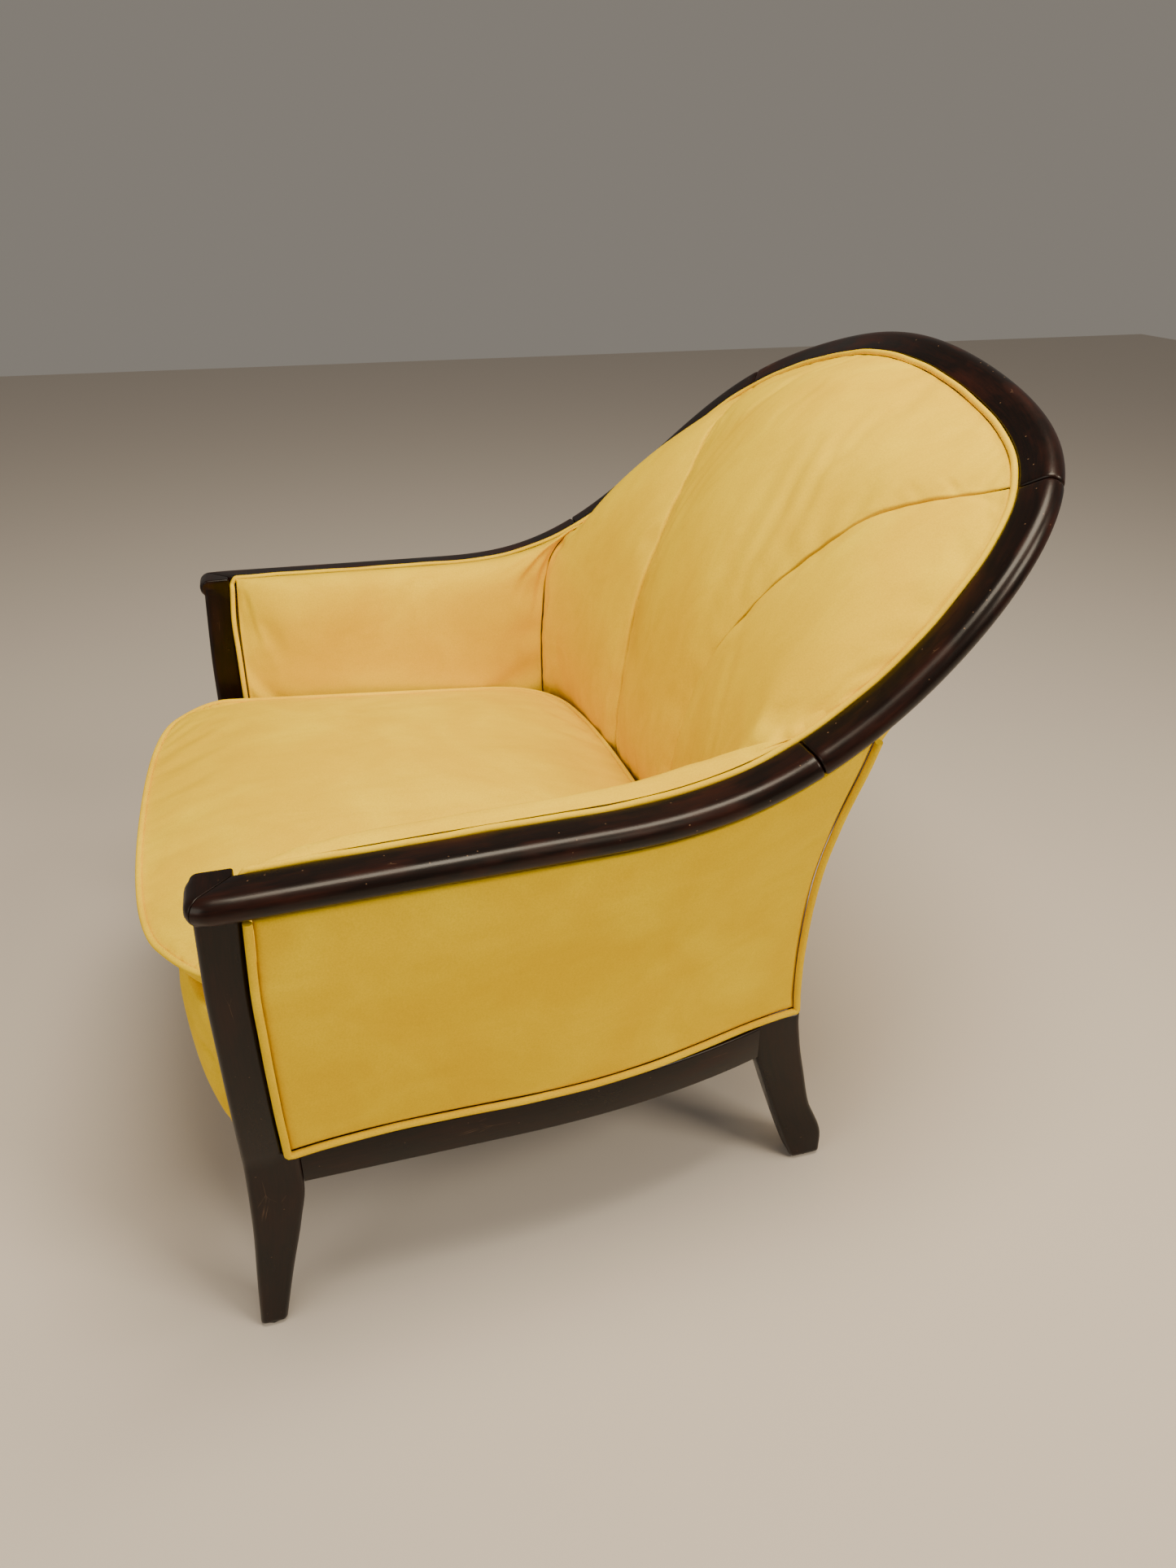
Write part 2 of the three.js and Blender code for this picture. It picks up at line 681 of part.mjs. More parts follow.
// A glued block in the corner of the front and side rails, notched round the post.
function frontBlock() {
  const x = RAIL_INNER_FRONT - GAP;
  const y = FRONT_RAIL.back + GAP;
  const block = solidOf(prism([[x - BLOCK_LENGTH, y], [x, y], [x, y + BLOCK_LENGTH]], BLOCK_LOW, BLOCK_HIGH));
  const postInner = POST_SEAT.outer - POST_SEAT.width - 2 * GAP;
  const notch = boxBetween([postInner, x + 9], [y - 9, POST_SEAT.back + GAP], [0, FAR]);
  return block.subtract(solidOf(notch)).subtract(frontScrewHole);
}

// The same in the corner of the rear rail and the rear leg.
function rearBlock() {
  const inner = LEG_LOW.outer - LEG_LOW.width - GAP;
  const front = LEG_SEAT.front - GAP;
  const side = seatRailOuter(front) - SEAT_RAIL_THICK - GAP;
  const back = REAR_RAIL.front - GAP;
  const outline = [
    [inner - BLOCK_LENGTH, back],
    [inner, back],
    [inner, front],
    [side, front],
    [side, front - BLOCK_LENGTH / 2],
  ];
  return solidOf(prism(outline.reverse(), BLOCK_LOW, BLOCK_HIGH)).subtract(rearScrewHole);
}

// ---- springing ----

// A slab that slopes with the seat: its outline at a lower and an upper height.
function slopedSlab(outline, topOf, thick) {
  const rings = [thick, 0].map((drop) => outline.map(([x, y]) => point(x, y, topOf(y) - drop)));
  return ringSolid(rings, outline.map(([x, y]) => new THREE.Vector2(x, y)));
}

function seatWeb(x) {
  const half = WEB_WIDTH / 2;
  const outline = [
    [x - half, FRONT_RAIL.front + 2],
    [x + half, FRONT_RAIL.front + 2],
    [x + half, REAR_RAIL.back],
    [x - half, REAR_RAIL.back],
  ];
  return slopedSlab(outline, webTop, WEB_THICK);
}

const DECK_HALF = PAD_HALF_LOW - 6;
const DECK_FRONT = FRONT_RAIL.front + 2;

function seatDeck() {
  const left = [
    [DECK_HALF, DECK_FRONT],
    [DECK_HALF, -40],
    [DECK_HALF - 12, 120],
    [DECK_HALF - 46, 205],
    [DECK_HALF - 120, REAR_RAIL.front],
  ];
  const right = left.map(([x, y]) => [-x, y]).reverse();
  return slopedSlab([...left, ...right], deckTop, DECK_THICK);
}

function dustCover() {
  const thick = 1.5;
  const left = [
    [POST_SEAT.outer - POST_SEAT.width - 4, FRONT_RAIL.front + 3],
    [POST_SEAT.outer - POST_SEAT.width - 4, POST_SEAT.back + 5],
    [seatRailOuter(POST_SEAT.back) - 7, POST_SEAT.back + 5],
    [seatRailOuter(0) - 7, 0],
    [seatRailOuter(110) - 7, 110],
    [seatRailOuter(LEG_LOW.front) - 7, LEG_LOW.front - 6],
    [LEG_LOW.outer - LEG_LOW.width - 4, LEG_LOW.front - 6],
    [LEG_LOW.outer - LEG_LOW.width - 4, REAR_RAIL.back - 2],
  ];
  const right = left.map(([x, y]) => [-x, y]).reverse();
  return prism([...left, ...right], SEAT_RAIL_BOTTOM - GAP - thick, SEAT_RAIL_BOTTOM - GAP);
}

// ---- inside upholstery ----

const spline = (points) => {
  const curve = new THREE.CatmullRomCurve3(points);
  return (s) => curve.getPoint(THREE.MathUtils.clamp(s, 0, 1));
};
const line = (a, b) => (s) => a.clone().lerp(b, s);
const PAD_ROOM = -(WELT_ROOM + 2 * GAP);
const padTop = (place) => rimOffset(place, PAD_ROOM, -1);

const armSeam = spline([...ARM_SEAM.map((p) => point(...p)), padTop(ARM_SEAM_PLACE)]);
const centreSeam = spline([...CENTRE_SEAM.map((p) => point(...p)), padTop(CENTRE_SEAM_PLACE)]);
const mirror = (curve) => (s) => curve(s).multiply(point(-1, 1, 1));

// An arm pad stands upright inside the arm and rolls over at its top to meet the rail.
function armRoll(flat) {
  return (p, v) => {
    const ends = (1 - Math.abs(2 * p - 1) ** 6) ** 0.8;
    const over = THREE.MathUtils.clamp((v - ARM_ROLL_START) / (1 - ARM_ROLL_START), 0, 1);
    const plump = THREE.MathUtils.smoothstep(v, ARM_PLUMP_FROM, ARM_PLUMP_TO);
    const inward = ARM_ROLL_IN * plump * Math.sqrt(1 - over ** 4);
    const upward = ARM_ROLL_UP * Math.abs(Math.sin(Math.PI * over ** 3)) ** 0.6;
    return flat(p, v).add(point(-inward * ends, 0, upward * ends));
  };
}

function armPadSurface() {
  const low = deckTop(ARM_FRONT_Y) + PAD_OVER_DECK;
  const front = line(point(PAD_HALF_LOW, ARM_FRONT_Y, low), padTop(PAD_START));
  const middle = point(PAD_HALF_LOW, -60, deckTop(-60) + PAD_OVER_DECK);
  const bottom = spline([front(0), middle, armSeam(0)]);
  const top = (p) => padTop(mix(PAD_START, ARM_SEAM_PLACE, p));
  return armRoll(patch(bottom, top, front, armSeam, 0));
}

function sideChannelSurface() {
  const bottom = spline([armSeam(0), point(255, 160, armSeam(0).z), centreSeam(0)]);
  const top = (p) => padTop(mix(ARM_SEAM_PLACE, CENTRE_SEAM_PLACE, p));
  return patch(bottom, top, armSeam, centreSeam, -CHANNEL_BULGE);
}

function centreChannelSurface() {
  const bottom = spline([centreSeam(0), point(0, 180, centreSeam(0).z), mirror(centreSeam)(0)]);
  const top = (p) => padTop(mix(CENTRE_SEAM_PLACE, 2 - CENTRE_SEAM_PLACE, p));
  return patch(bottom, top, centreSeam, mirror(centreSeam), -CHANNEL_BULGE);
}

const armPadFace = armPadSurface();
const sideChannelFace = sideChannelSurface();
const centreChannelFace = centreChannelSurface();

// A pad behind its face: thick low down and thinning to its edge under the rim. Its depth runs
// from one thickness to another along its length.
function pad(face, [startThick, endThick], steps, margin) {
  const depth = (p, v) => mix(mix(startThick, endThick, p), PAD_EDGE, v ** 3);
  return shell(face, { p: [margin, 1 - margin], offsets: [0, depth], steps });
}

// ---- outside upholstery ----

const PANEL_UNDER_RAIL = RAIL_WIDTH - 13;
const panelTop = (place) => rimOffset(place, PANEL_UNDER_RAIL, -RAIL_THICK - UNDER_RAIL);

// The outside arm: from the post to the stile, and from the seat rail to the underside of the rail.
function sidePanelSurface() {
  const low = SEAT_RAIL_TOP + WELT_ROOM;
  const postEdge = (z) => {
    const station = stationAt(POST_STATIONS, z);
    return point(station.outer, station.back + WELT_ROOM, z);
  };
  const stileEdge = (z) => {
    const station = stationAt(LEG_STATIONS, z);
    return point(station.outer + PANEL_OVER_STILE, station.back - WELT_ROOM, z);
  };
  const endPlace = STILE_PLACE - PANEL_SHORT_OF_STILE;
  const topFront = panelTop(PANEL_START);
  const topRear = panelTop(endPlace);
  const front = (v) => {
    const edge = postEdge(mix(low, topFront.z, v));
    return edge.lerp(point(topFront.x, edge.y, edge.z), v);
  };
  const rear = (v) => {
    const edge = stileEdge(mix(low, topRear.z, v));
    return edge.lerp(topRear, v ** 3);
  };
  const bottom = (p) => {
    const y = mix(front(0).y, rear(0).y, p);
    return point(mix(mix(front(0).x, rear(0).x, p), seatRailOuter(y), 4 * p * (1 - p)), y, low);
  };
  const cornerShift = front(1).sub(topFront);
  const top = (p) => panelTop(mix(PANEL_START, endPlace, p)).addScaledVector(cornerShift, (1 - p) ** 8);
  return patch(bottom, top, front, rear, PANEL_BULGE);
}

// The outside back: between the stiles, from the rear seat rail up to the crest.
function backPanelSurface() {
  const start = STILE_PLACE + 0.02;
  const topCurve = (p) => rimOffset(mix(start, 2 - start, p), 12, -RAIL_THICK - UNDER_RAIL);
  const corner = topCurve(0);
  const edge = (v) => {
    const z = mix(SEAT_RAIL_BOTTOM, corner.z, v);
    const station = stationAt(LEG_STATIONS, z);
    const side = point(station.outer - station.width - 2, station.back - 2, z);
    return side.lerp(corner, v ** 4);
  };
  const low = edge(0);
  const bottom = spline([low, point(0, low.y + 34, low.z), mirror(edge)(0)]);
  return patch(bottom, topCurve, edge, mirror(edge), PANEL_BULGE);
}

const sidePanelFace = sidePanelSurface();
const backPanelFace = backPanelSurface();

const sidePanel = () => shell(sidePanelFace, { offsets: [-PANEL_THICK, 0], steps: [14, 7] });
const outerBack = () => shell(backPanelFace, { offsets: [-PANEL_THICK, 0], steps: [20, 9] });

function armTackingRail() {
  return shell(sidePanelFace, {
    p: [0.02, 0.9],
    v: [0.12, 0.24],
    offsets: [-PANEL_THICK - 7, -PANEL_THICK - 1],
    steps: [12, 1],
  });
}

function backTackingRail() {
  return shell(backPanelFace, {
    p: [0.03, 0.97],
    v: [0.2, 0.28],
    offsets: [-PANEL_THICK - 18, -PANEL_THICK - 2],
    steps: [16, 1],
  });
}

function backWeb(middle) {
  return shell(centreChannelFace, {
    p: [middle - 0.07, middle + 0.07],
    v: [0.12, 0.84],
    offsets: [BACK_PAD_THICK + 1, BACK_PAD_THICK + 3],
    steps: [2, 12],
  });
}

// The front apron: a bowed pad from under the front seat rail up to the cushion.
function frontApron() {
  const half = PAD_HALF_LOW - GAP;
  const back = FRONT_RAIL.front - GAP;
  const depth = CUSHION_FRONT + APRON_SET_BACK - back;
  const rings = APRON_LEVELS.map(({ z, bow }) => {
    const ring = [];
    for (let i = 0; i <= 20; i++) {
      const s = -1 + i / 10;
      const reach = bow * (1 - Math.abs(s) ** 5) + 0.06;
      ring.push(point(s * half, back + depth * reach, z));
    }
    ring.push(point(half, back, z), point(-half, back, z));
    return ring;
  });
  return ringSolid(rings, rings[0].map((corner) => new THREE.Vector2(corner.x, corner.y)));
}

// ---- the loose seat cushion ----

// The cushion's seam line seen from above, as evenly spaced points.
function cushionOutline(count) {
  const [half, front, back] = [CUSHION_HALF, CUSHION_FRONT, CUSHION_BACK];
  const [r, rear] = [CUSHION_CORNER, CUSHION_BACK_CORNER];
  const shape = new THREE.Shape();
  const shoulder = front + CUSHION_FRONT_BOW;
  shape.moveTo(0, front);
  shape.quadraticCurveTo(half - 1.6 * r, front, half - r * 0.9, shoulder);
  shape.quadraticCurveTo(half, shoulder + CUSHION_CORNER_PULL * CUSHION_FRONT_BOW, half, shoulder + r);
  shape.lineTo(half, back - rear - CUSHION_BACK_BOW);
  shape.quadraticCurveTo(half - 4, back - CUSHION_BACK_BOW, half - rear, back - CUSHION_BACK_BOW / 2);
  shape.quadraticCurveTo(half - 1.8 * rear, back, 0, back);
  const leftHalf = shape.getSpacedPoints(count / 2);
  const rightHalf = leftHalf.slice(1, -1).reverse().map((spot) => new THREE.Vector2(-spot.x, spot.y));
  return [...leftHalf, ...rightHalf];
}

const cushionMiddle = (CUSHION_FRONT + CUSHION_BACK) / 2;
const cushionBase = (y) => deckTop(y) + GAP + 2;

function cushionRing(outline, inset, height) {
  const scale = 1 - inset / CUSHION_HALF;
  return outline.map((spot) => {
    const y = cushionMiddle + (spot.y - cushionMiddle) * scale;
    return point(spot.x * scale, y, cushionBase(y) + height);
  });
}

function seatCushion() {
  const outline = cushionOutline(48);
  const seam = 2 * (WELT_RADIUS + GAP);
  const levels = [
    { inset: 40, height: 0 },
    { inset: seam + CUSHION_UNDERCUT, height: 0 },
    { inset: seam + CUSHION_UNDERCUT / 2, height: CUSHION_BOX / 4 },
    { inset: seam + CUSHION_UNDERCUT / 6, height: CUSHION_BOX / 2 },
    { inset: seam, height: CUSHION_BOX },
  ];
  for (const inset of [26, 60, 110, 180, 250]) {
    const share = Math.sin((Math.PI / 2) * Math.min(inset / 220, 1));
    levels.push({ inset, height: CUSHION_BOX + CUSHION_CROWN * share ** 0.9 });
  }
  const rings = levels.map(({ inset, height }) => cushionRing(outline, inset, height));
  return ringSolid(rings, outline);
}

// A cord of round section along a row of points, closed on itself or with flat ends.
function cord(points, closed) {
  const sides = 6;
  const count = points.length;
  const rings = points.map((at, i) => {
    const before = points[closed ? (i + count - 1) % count : Math.max(i - 1, 0)];
    const after = points[closed ? (i + 1) % count : Math.min(i + 1, count - 1)];
    const along = after.clone().sub(before).normalize();
    const reference = Math.abs(along.z) > 0.9 ? point(1, 0, 0) : point(0, 0, 1);
    const side = along.clone().cross(reference).normalize();
    const up = side.clone().cross(along);
    return Array.from({ length: sides }, (_, k) => {
      const angle = (Math.PI * 2 * k) / sides;
      return at
        .clone()
        .addScaledVector(side, WELT_RADIUS * Math.cos(angle))
        .addScaledVector(up, WELT_RADIUS * Math.sin(angle));
    });
  });
  if (closed) return loopSolid(rings);
  const outline = Array.from({ length: sides }, (_, k) => {
    const angle = (Math.PI * 2 * k) / sides;
    return new THREE.Vector2(Math.cos(angle), Math.sin(angle));
  });
  return ringSolid(rings, outline);
}

function cushionWelt() {
  return cord(cushionRing(cushionOutline(48), WELT_RADIUS, CUSHION_BOX + 1), true);
}

function rimWelt() {
  const points = [];
  for (let i = 0; i <= 56; i++) {
    const place = mix(RIM_WELT_START, 2 - RIM_WELT_START, i / 56);
    points.push(rimOffset(place, -WELT_RADIUS - 2 * GAP, -1));
  }
  return cord(points, false);
}

// The welt round an outside arm panel: down the post, along the seat rail and up the stile.
function panelWelt() {
  const points = [];
  const reach = WELT_RADIUS + 2 * GAP;
  const lift = (at) => offsetPoint(sidePanelFace, at, -PANEL_WELT_SINK);
  for (let j = 12; j >= 1; j--) points.push(lift([0, j / 12]).add(point(0, -reach, 0)));
  points.push(lift([0, 0]).add(point(0, -reach * 0.7, -reach * 0.7)));
  for (let i = 1; i < 16; i++) points.push(lift([i / 16, 0]).add(point(0, 0, -reach)));
  points.push(lift([1, 0]).add(point(0, reach * 0.7, -reach * 0.7)));
  for (let j = 1; j <= 11; j++) points.push(lift([1, j / 12]).add(point(0, reach, 0)));
  return cord(points, false);
}

// ---- assembly ----

const chair = new THREE.Group();

function add(name, shape, look) {
  const geometry = shape.isBufferGeometry ? shape : geometryFrom(shape);
  geometry.computeVertexNormals();
  const mesh = new THREE.Mesh(geometry, new THREE.MeshStandardMaterial(look));
  mesh.name = name;
  chair.add(mesh);
  return mesh;
}

// A piece on the sitter's left and its mirror image on the right.
function addPair(name, shape, look) {
  const left = add(name + "_left", shape, look);
  const right = left.clone();
  right.name = name + "_right";
  right.scale.x = -1;
  chair.add(right);
}

addPair("front_post", frontPost(), darkWood);
addPair("rear_leg", rearLeg(), darkWood);
addPair("arm_rail", armRail(), darkWood);
addPair("back_rail", backRail(), darkWood);
add("crest_rail", crestRail(), darkWood);
addPair("side_seat_rail", sideSeatRail(), darkWood);
add("front_seat_rail", frontSeatRail(), paleWood);
add("rear_seat_rail", rearSeatRail(), paleWood);
addPair("front_corner_block", frontBlock(), paleWood);
addPair("rear_corner_block", rearBlock(), paleWood);
addPair("front_block_screw", blockScrew(frontScrewStart, frontScrewAim), steel);
addPair("rear_block_screw", blockScrew(rearScrewStart, rearScrewAim), steel);
addPair("mitre_dowel", mitreDowel(0), paleWood);
addPair("arm_joint_dowel", railDowel(ARM_JOINT, 0), paleWood);
addPair("crest_joint_dowel", railDowel(CREST_JOINT, 0), paleWood);
addPair("front_glide", glide(POST_STATIONS), nylon);
addPair("rear_glide", glide(LEG_STATIONS), nylon);
addPair("arm_tacking_rail", armTackingRail(), paleWood);
add("back_tacking_rail", backTackingRail(), paleWood);
[-195, -65, 65, 195].forEach((x, i) => add("seat_web_" + (i + 1), seatWeb(x), webbing));
[0.25, 0.5, 0.75].forEach((middle, i) => add("back_web_" + (i + 1), backWeb(middle), webbing));
add("seat_deck", seatDeck(), lining);
add("dust_cover", dustCover(), lining);
addPair("inside_arm_pad", pad(armPadFace, [ARM_PAD_THICK, ARM_PAD_THICK], [14, 14], 0.018), velvet);
addPair("back_side_channel", pad(sideChannelFace, [ARM_PAD_THICK, BACK_PAD_THICK], [9, 10], 0.004), velvet);
add("back_centre_channel", pad(centreChannelFace, [BACK_PAD_THICK, BACK_PAD_THICK], [14, 10], 0.004), velvet);
addPair("outside_arm_panel", sidePanel(), velvet);
add("outside_back_panel", outerBack(), velvet);
add("front_apron", frontApron(), velvet);
add("seat_cushion", seatCushion(), velvet);
add("seat_cushion_welt", cushionWelt(), velvet);
add("rim_welt", rimWelt(), velvet);
addPair("outside_arm_welt", panelWelt(), velvet);

// The origin lies on the floor under the middle of the chair's outer box.
const outerBox = new THREE.Box3().setFromObject(chair, true);
chair.position.set(0, -(outerBox.min.y + outerBox.max.y) / 2, 0);

export default chair;
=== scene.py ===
# Tub armchair: dark lacquered show wood, yellow microfibre velvet, a loose crowned seat cushion.
# Lengths in the builders below are millimetres; place() turns them into the metres of the frame.
import math

import bmesh
import bpy
import numpy as np
from mathutils import Euler, Matrix, Vector


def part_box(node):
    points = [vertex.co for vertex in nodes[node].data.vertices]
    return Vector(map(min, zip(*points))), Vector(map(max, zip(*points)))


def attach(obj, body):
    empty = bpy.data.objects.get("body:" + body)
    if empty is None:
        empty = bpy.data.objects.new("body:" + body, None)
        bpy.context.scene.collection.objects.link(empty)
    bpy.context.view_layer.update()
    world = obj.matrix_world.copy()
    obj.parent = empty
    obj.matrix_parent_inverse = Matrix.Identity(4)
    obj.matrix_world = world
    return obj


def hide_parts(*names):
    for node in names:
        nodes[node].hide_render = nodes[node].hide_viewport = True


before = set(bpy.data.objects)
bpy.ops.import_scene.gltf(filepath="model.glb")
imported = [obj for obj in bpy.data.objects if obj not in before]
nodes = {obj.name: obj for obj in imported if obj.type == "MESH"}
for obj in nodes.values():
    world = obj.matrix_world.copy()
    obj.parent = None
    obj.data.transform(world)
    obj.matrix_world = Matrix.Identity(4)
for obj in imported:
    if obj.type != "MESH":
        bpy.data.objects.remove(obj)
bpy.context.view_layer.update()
scene = bpy.context.scene

rim = {
    "frontY": -261, "halfFront": 355, "halfBack": 340, "height": 524,
    "centreY": 100, "depth": 347, "power": 4.4, "armShare": 0.38,
    "riseFrom": 0, "riseTo": 367, "slope": 0.967, "crown": 34, "crownHalf": 280,
}
rail = {
    "width": 36, "crestWidth": 31, "thick": 23.5, "easeInner": 1.8, "easeEnd": 2.6,
    "mitreEase": 0.9, "mitreGap": 0.8, "noseCorner": 15, "innerCorner": 10, "noseInset": 11,
    "armJoint": 0.488, "crestJoint": 0.713,
}
seat = {
    "half": 334, "bendY": -61, "bendDepth": 554, "bendPower": 2.17,
    "railTop": 217, "railBottom": 177, "railThick": 24, "deck": 350, "deckThick": 80, "slope": 0.07,
}
welt = {"radius": 3.0, "stout": 3.5, "sides": 14, "room": 7.6}

# The rear foot's back face is a known place, so it carries the frame's own origin over.
footBack = 303
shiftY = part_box("rear_leg_left")[1].y * 1000 - footBack


def place(points):
    return (np.asarray(points, float) + np.array([0, shiftY, 0])) / 1000


def mix(a, b, s):
    return a + (b - a) * s


def smooth(low, high, x):
    s = np.clip((np.asarray(x, float) - low) / (high - low), 0, 1)
    return s * s * (3 - 2 * s)


# The rim: the inner top edge of the horseshoe rail.

def riseSlope(y):
    return rim["slope"] * smooth(rim["riseFrom"], rim["riseTo"], y)


def rimHeight(x, y):
    span = rim["riseTo"] - rim["riseFrom"]
    s = np.clip((y - rim["riseFrom"]) / span, 0, 1)
    ramp = rim["slope"] * span * (s ** 3 - s ** 4 / 2)
    beyond = rim["slope"] * np.maximum(y - rim["riseTo"], 0)
    turn = np.clip(np.abs(x) / rim["crownHalf"], 0, 1)
    return rim["height"] + ramp + beyond + rim["crown"] * np.cos(math.pi / 2 * turn) ** 2


# at: 0 the left arm's front, 1 the middle of the crest, 2 the right arm's front.
def rimPoint(at):
    at = np.atleast_1d(np.asarray(at, float))
    side = np.where(at > 1, -1.0, 1.0)
    t = np.where(at > 1, 2 - at, at)
    armY = rim["frontY"] + (rim["centreY"] - rim["frontY"]) * t / rim["armShare"]
    ahead = np.clip((rim["centreY"] - armY) / (rim["centreY"] - rim["frontY"]), 0, 1)
    armX = rim["halfBack"] + (rim["halfFront"] - rim["halfBack"]) * ahead ** 1.2
    angle = math.pi / 2 * np.clip((t - rim["armShare"]) / (1 - rim["armShare"]), 0, 1)
    power = rim["power"]
    reach = (np.abs(np.cos(angle)) / rim["halfBack"]) ** power + (np.sin(angle) / rim["depth"]) ** power
    radius = reach ** (-1 / power)
    onArm = t < rim["armShare"]
    x = np.where(onArm, armX, radius * np.cos(angle))
    y = np.where(onArm, armY, rim["centreY"] + radius * np.sin(angle))
    return np.stack([x * side, y, rimHeight(x, y)], -1)


def unit(v):
    return v / np.maximum(np.linalg.norm(v, axis=-1, keepdims=True), 1e-12)


def rimFrame(at):
    at = np.atleast_1d(np.asarray(at, float))
    step = 0.002
    along = unit(rimPoint(at + step) - rimPoint(at - step))
    here = rimPoint(at)
    lean = np.arctan(riseSlope(here[:, 1]))
    up = np.stack([np.zeros_like(lean), -np.sin(lean), np.cos(lean)], -1)
    up = unit(up - along * np.sum(up * along, -1, keepdims=True))
    return here, along, up, np.cross(along, up)


def rimOffset(at, out, up):
    at = np.atleast_1d(np.asarray(at, float))
    here, _, upward, outward = rimFrame(at)
    out = np.broadcast_to(np.asarray(out, float), at.shape)[:, None]
    up = np.broadcast_to(np.asarray(up, float), at.shape)[:, None]
    return here + outward * out + upward * up


def railWidth(at):
    return mix(rail["width"], rail["crestWidth"], smooth(0.4, 1, 1 - np.abs(1 - np.asarray(at, float))))


# Meshes from rings and grids.

def makePiece(name, points, faces, uvs=None, material=None, sharp=38, recalc=True):
    mesh = bpy.data.meshes.new(name)
    mesh.from_pydata([tuple(p) for p in place(points)], [], [tuple(f) for f in faces])
    if uvs is not None:
        layer = mesh.uv_layers.new(name="grain")
        layer.data.foreach_set("uv", np.asarray(uvs, np.float32).ravel())
    if recalc:
        bm = bmesh.new()
        bm.from_mesh(mesh)
        bmesh.ops.recalc_face_normals(bm, faces=bm.faces)
        bm.to_mesh(mesh)
        bm.free()
    finishShading(mesh, sharp)
    if material:
        mesh.materials.append(material)
    piece = bpy.data.objects.new(name, mesh)
    scene.collection.objects.link(piece)
    return piece


def finishShading(mesh, sharp):
    mesh.shade_smooth()
    if sharp:
        mesh.set_sharp_from_angle(angle=math.radians(sharp))


def mirroredPiece(piece, name):
    mesh = piece.data.copy()
    mesh.name = name
    mesh.transform(Matrix.Diagonal((-1, 1, 1, 1)))
    mesh.flip_normals()
    twin = bpy.data.objects.new(name, mesh)
    scene.collection.objects.link(twin)
    return twin


# Metres walked from the first of a row of points to each of them.
def walked(points):
    return np.concatenate([[0], np.cumsum(np.linalg.norm(np.diff(points, axis=0), axis=1))]) / 1000


# Rings of equal count joined into a tube; the map runs in metres along it and round it.
def sweep(rings, closed=False, caps=True):
    rings = np.asarray(rings, float)
    count, sides = rings.shape[:2]
    points = rings.reshape(-1, 3)
    along = walked(rings.mean(1))
    middle = rings[count // 2]
    around = walked(np.vstack([middle, middle[:1]]))
    faces, uvs = [], []
    for i in range(count if closed else count - 1):
        n = (i + 1) % count
        uNext = along[n] if n else along[-1] + along[1]
        for k in range(sides):
            m = (k + 1) % sides
            faces.append((i * sides + k, i * sides + m, n * sides + m, n * sides + k))
            here, there = around[k], around[k + 1]
            uvs += [(along[i], here), (along[i], there), (uNext, there), (uNext, here)]
    if caps and not closed:
        for i, order in ((0, range(sides - 1, -1, -1)), (count - 1, range(sides))):
            face = [i * sides + k for k in order]
            faces.append(tuple(face))
            flat = rings[i] - rings[i].mean(0)
            uvs += [(along[i] + flat[k][2] / 4000, (flat[k][0] + flat[k][1]) / 1000) for k in order]
    return points, faces, uvs


# Front and back grids (across, up, xyz) closed round their edges. The map is in metres.
def gridShell(front, back):
    nu, nv = front.shape[:2]
    points = np.concatenate([front.reshape(-1, 3), back.reshape(-1, 3)])
    lengthU, lengthV = walked(front[:, nv // 2]), walked(front[nu // 2])
    far = nu * nv
    faces, uvs = [], []

    def at(i, j, side):
        return side * far + i * nv + j

    def quad(corners):
        faces.append(tuple(at(*c) for c in corners))
        uvs.extend((lengthU[i], lengthV[j] + side * 0.01) for i, j, side in corners)

    for i in range(nu - 1):
        for j in range(nv - 1):
            quad([(i, j, 0), (i, j + 1, 0), (i + 1, j + 1, 0), (i + 1, j, 0)])
            quad([(i, j, 1), (i + 1, j, 1), (i + 1, j + 1, 1), (i, j + 1, 1)])
    for i in range(nu - 1):
        quad([(i, 0, 0), (i + 1, 0, 0), (i + 1, 0, 1), (i, 0, 1)])
        quad([(i, nv - 1, 0), (i, nv - 1, 1), (i + 1, nv - 1, 1), (i + 1, nv - 1, 0)])
    for j in range(nv - 1):
        quad([(0, j, 0), (0, j, 1), (0, j + 1, 1), (0, j + 1, 0)])
        quad([(nu - 1, j, 0), (nu - 1, j + 1, 0), (nu - 1, j + 1, 1), (nu - 1, j, 1)])
    return points, faces, uvs


# A Catmull-Rom curve through points; its parameter spends the same length on each span.
def splineThrough(points):
    p = np.asarray(points, float)
    p = np.vstack([2 * p[0] - p[1], p, 2 * p[-1] - p[-2]])
    spans = len(p) - 3

    def curve(s):
        t = np.clip(np.atleast_1d(np.asarray(s, float)), 0, 1) * spans
        i = np.minimum(t.astype(int), spans - 1)
        f = (t - i)[:, None]
        a, b, c, d = p[i], p[i + 1], p[i + 2], p[i + 3]
        square = (2 * a - 5 * b + 4 * c - d) * f ** 2
        cube = (3 * b - a - 3 * c + d) * f ** 3
        return 0.5 * (2 * b + (c - a) * f + square + cube)

    return curve


# 0 to 1 in count steps, closer together at both ends.
def edgeSteps(count, pull=0.35):
    s = np.linspace(0, 1, count)
    return s - pull * np.sin(2 * math.pi * s) / (2 * math.pi)


def coonsGrid(bottom, top, front, rear, us, vs):
    u, v = us[:, None, None], vs[None, :, None]
    b, t = bottom(us)[:, None, :], top(us)[:, None, :]
    f, r = front(vs)[None, :, :], rear(vs)[None, :, :]
    b0, b1, t0, t1 = (x[None, None, :] for x in (bottom([0])[0], bottom([1])[0], top([0])[0], top([1])[0]))
    corners = (1 - u) * (1 - v) * b0 + u * (1 - v) * b1 + (1 - u) * v * t0 + u * v * t1
    return (1 - v) * b + v * t + (1 - u) * f + u * r - corners


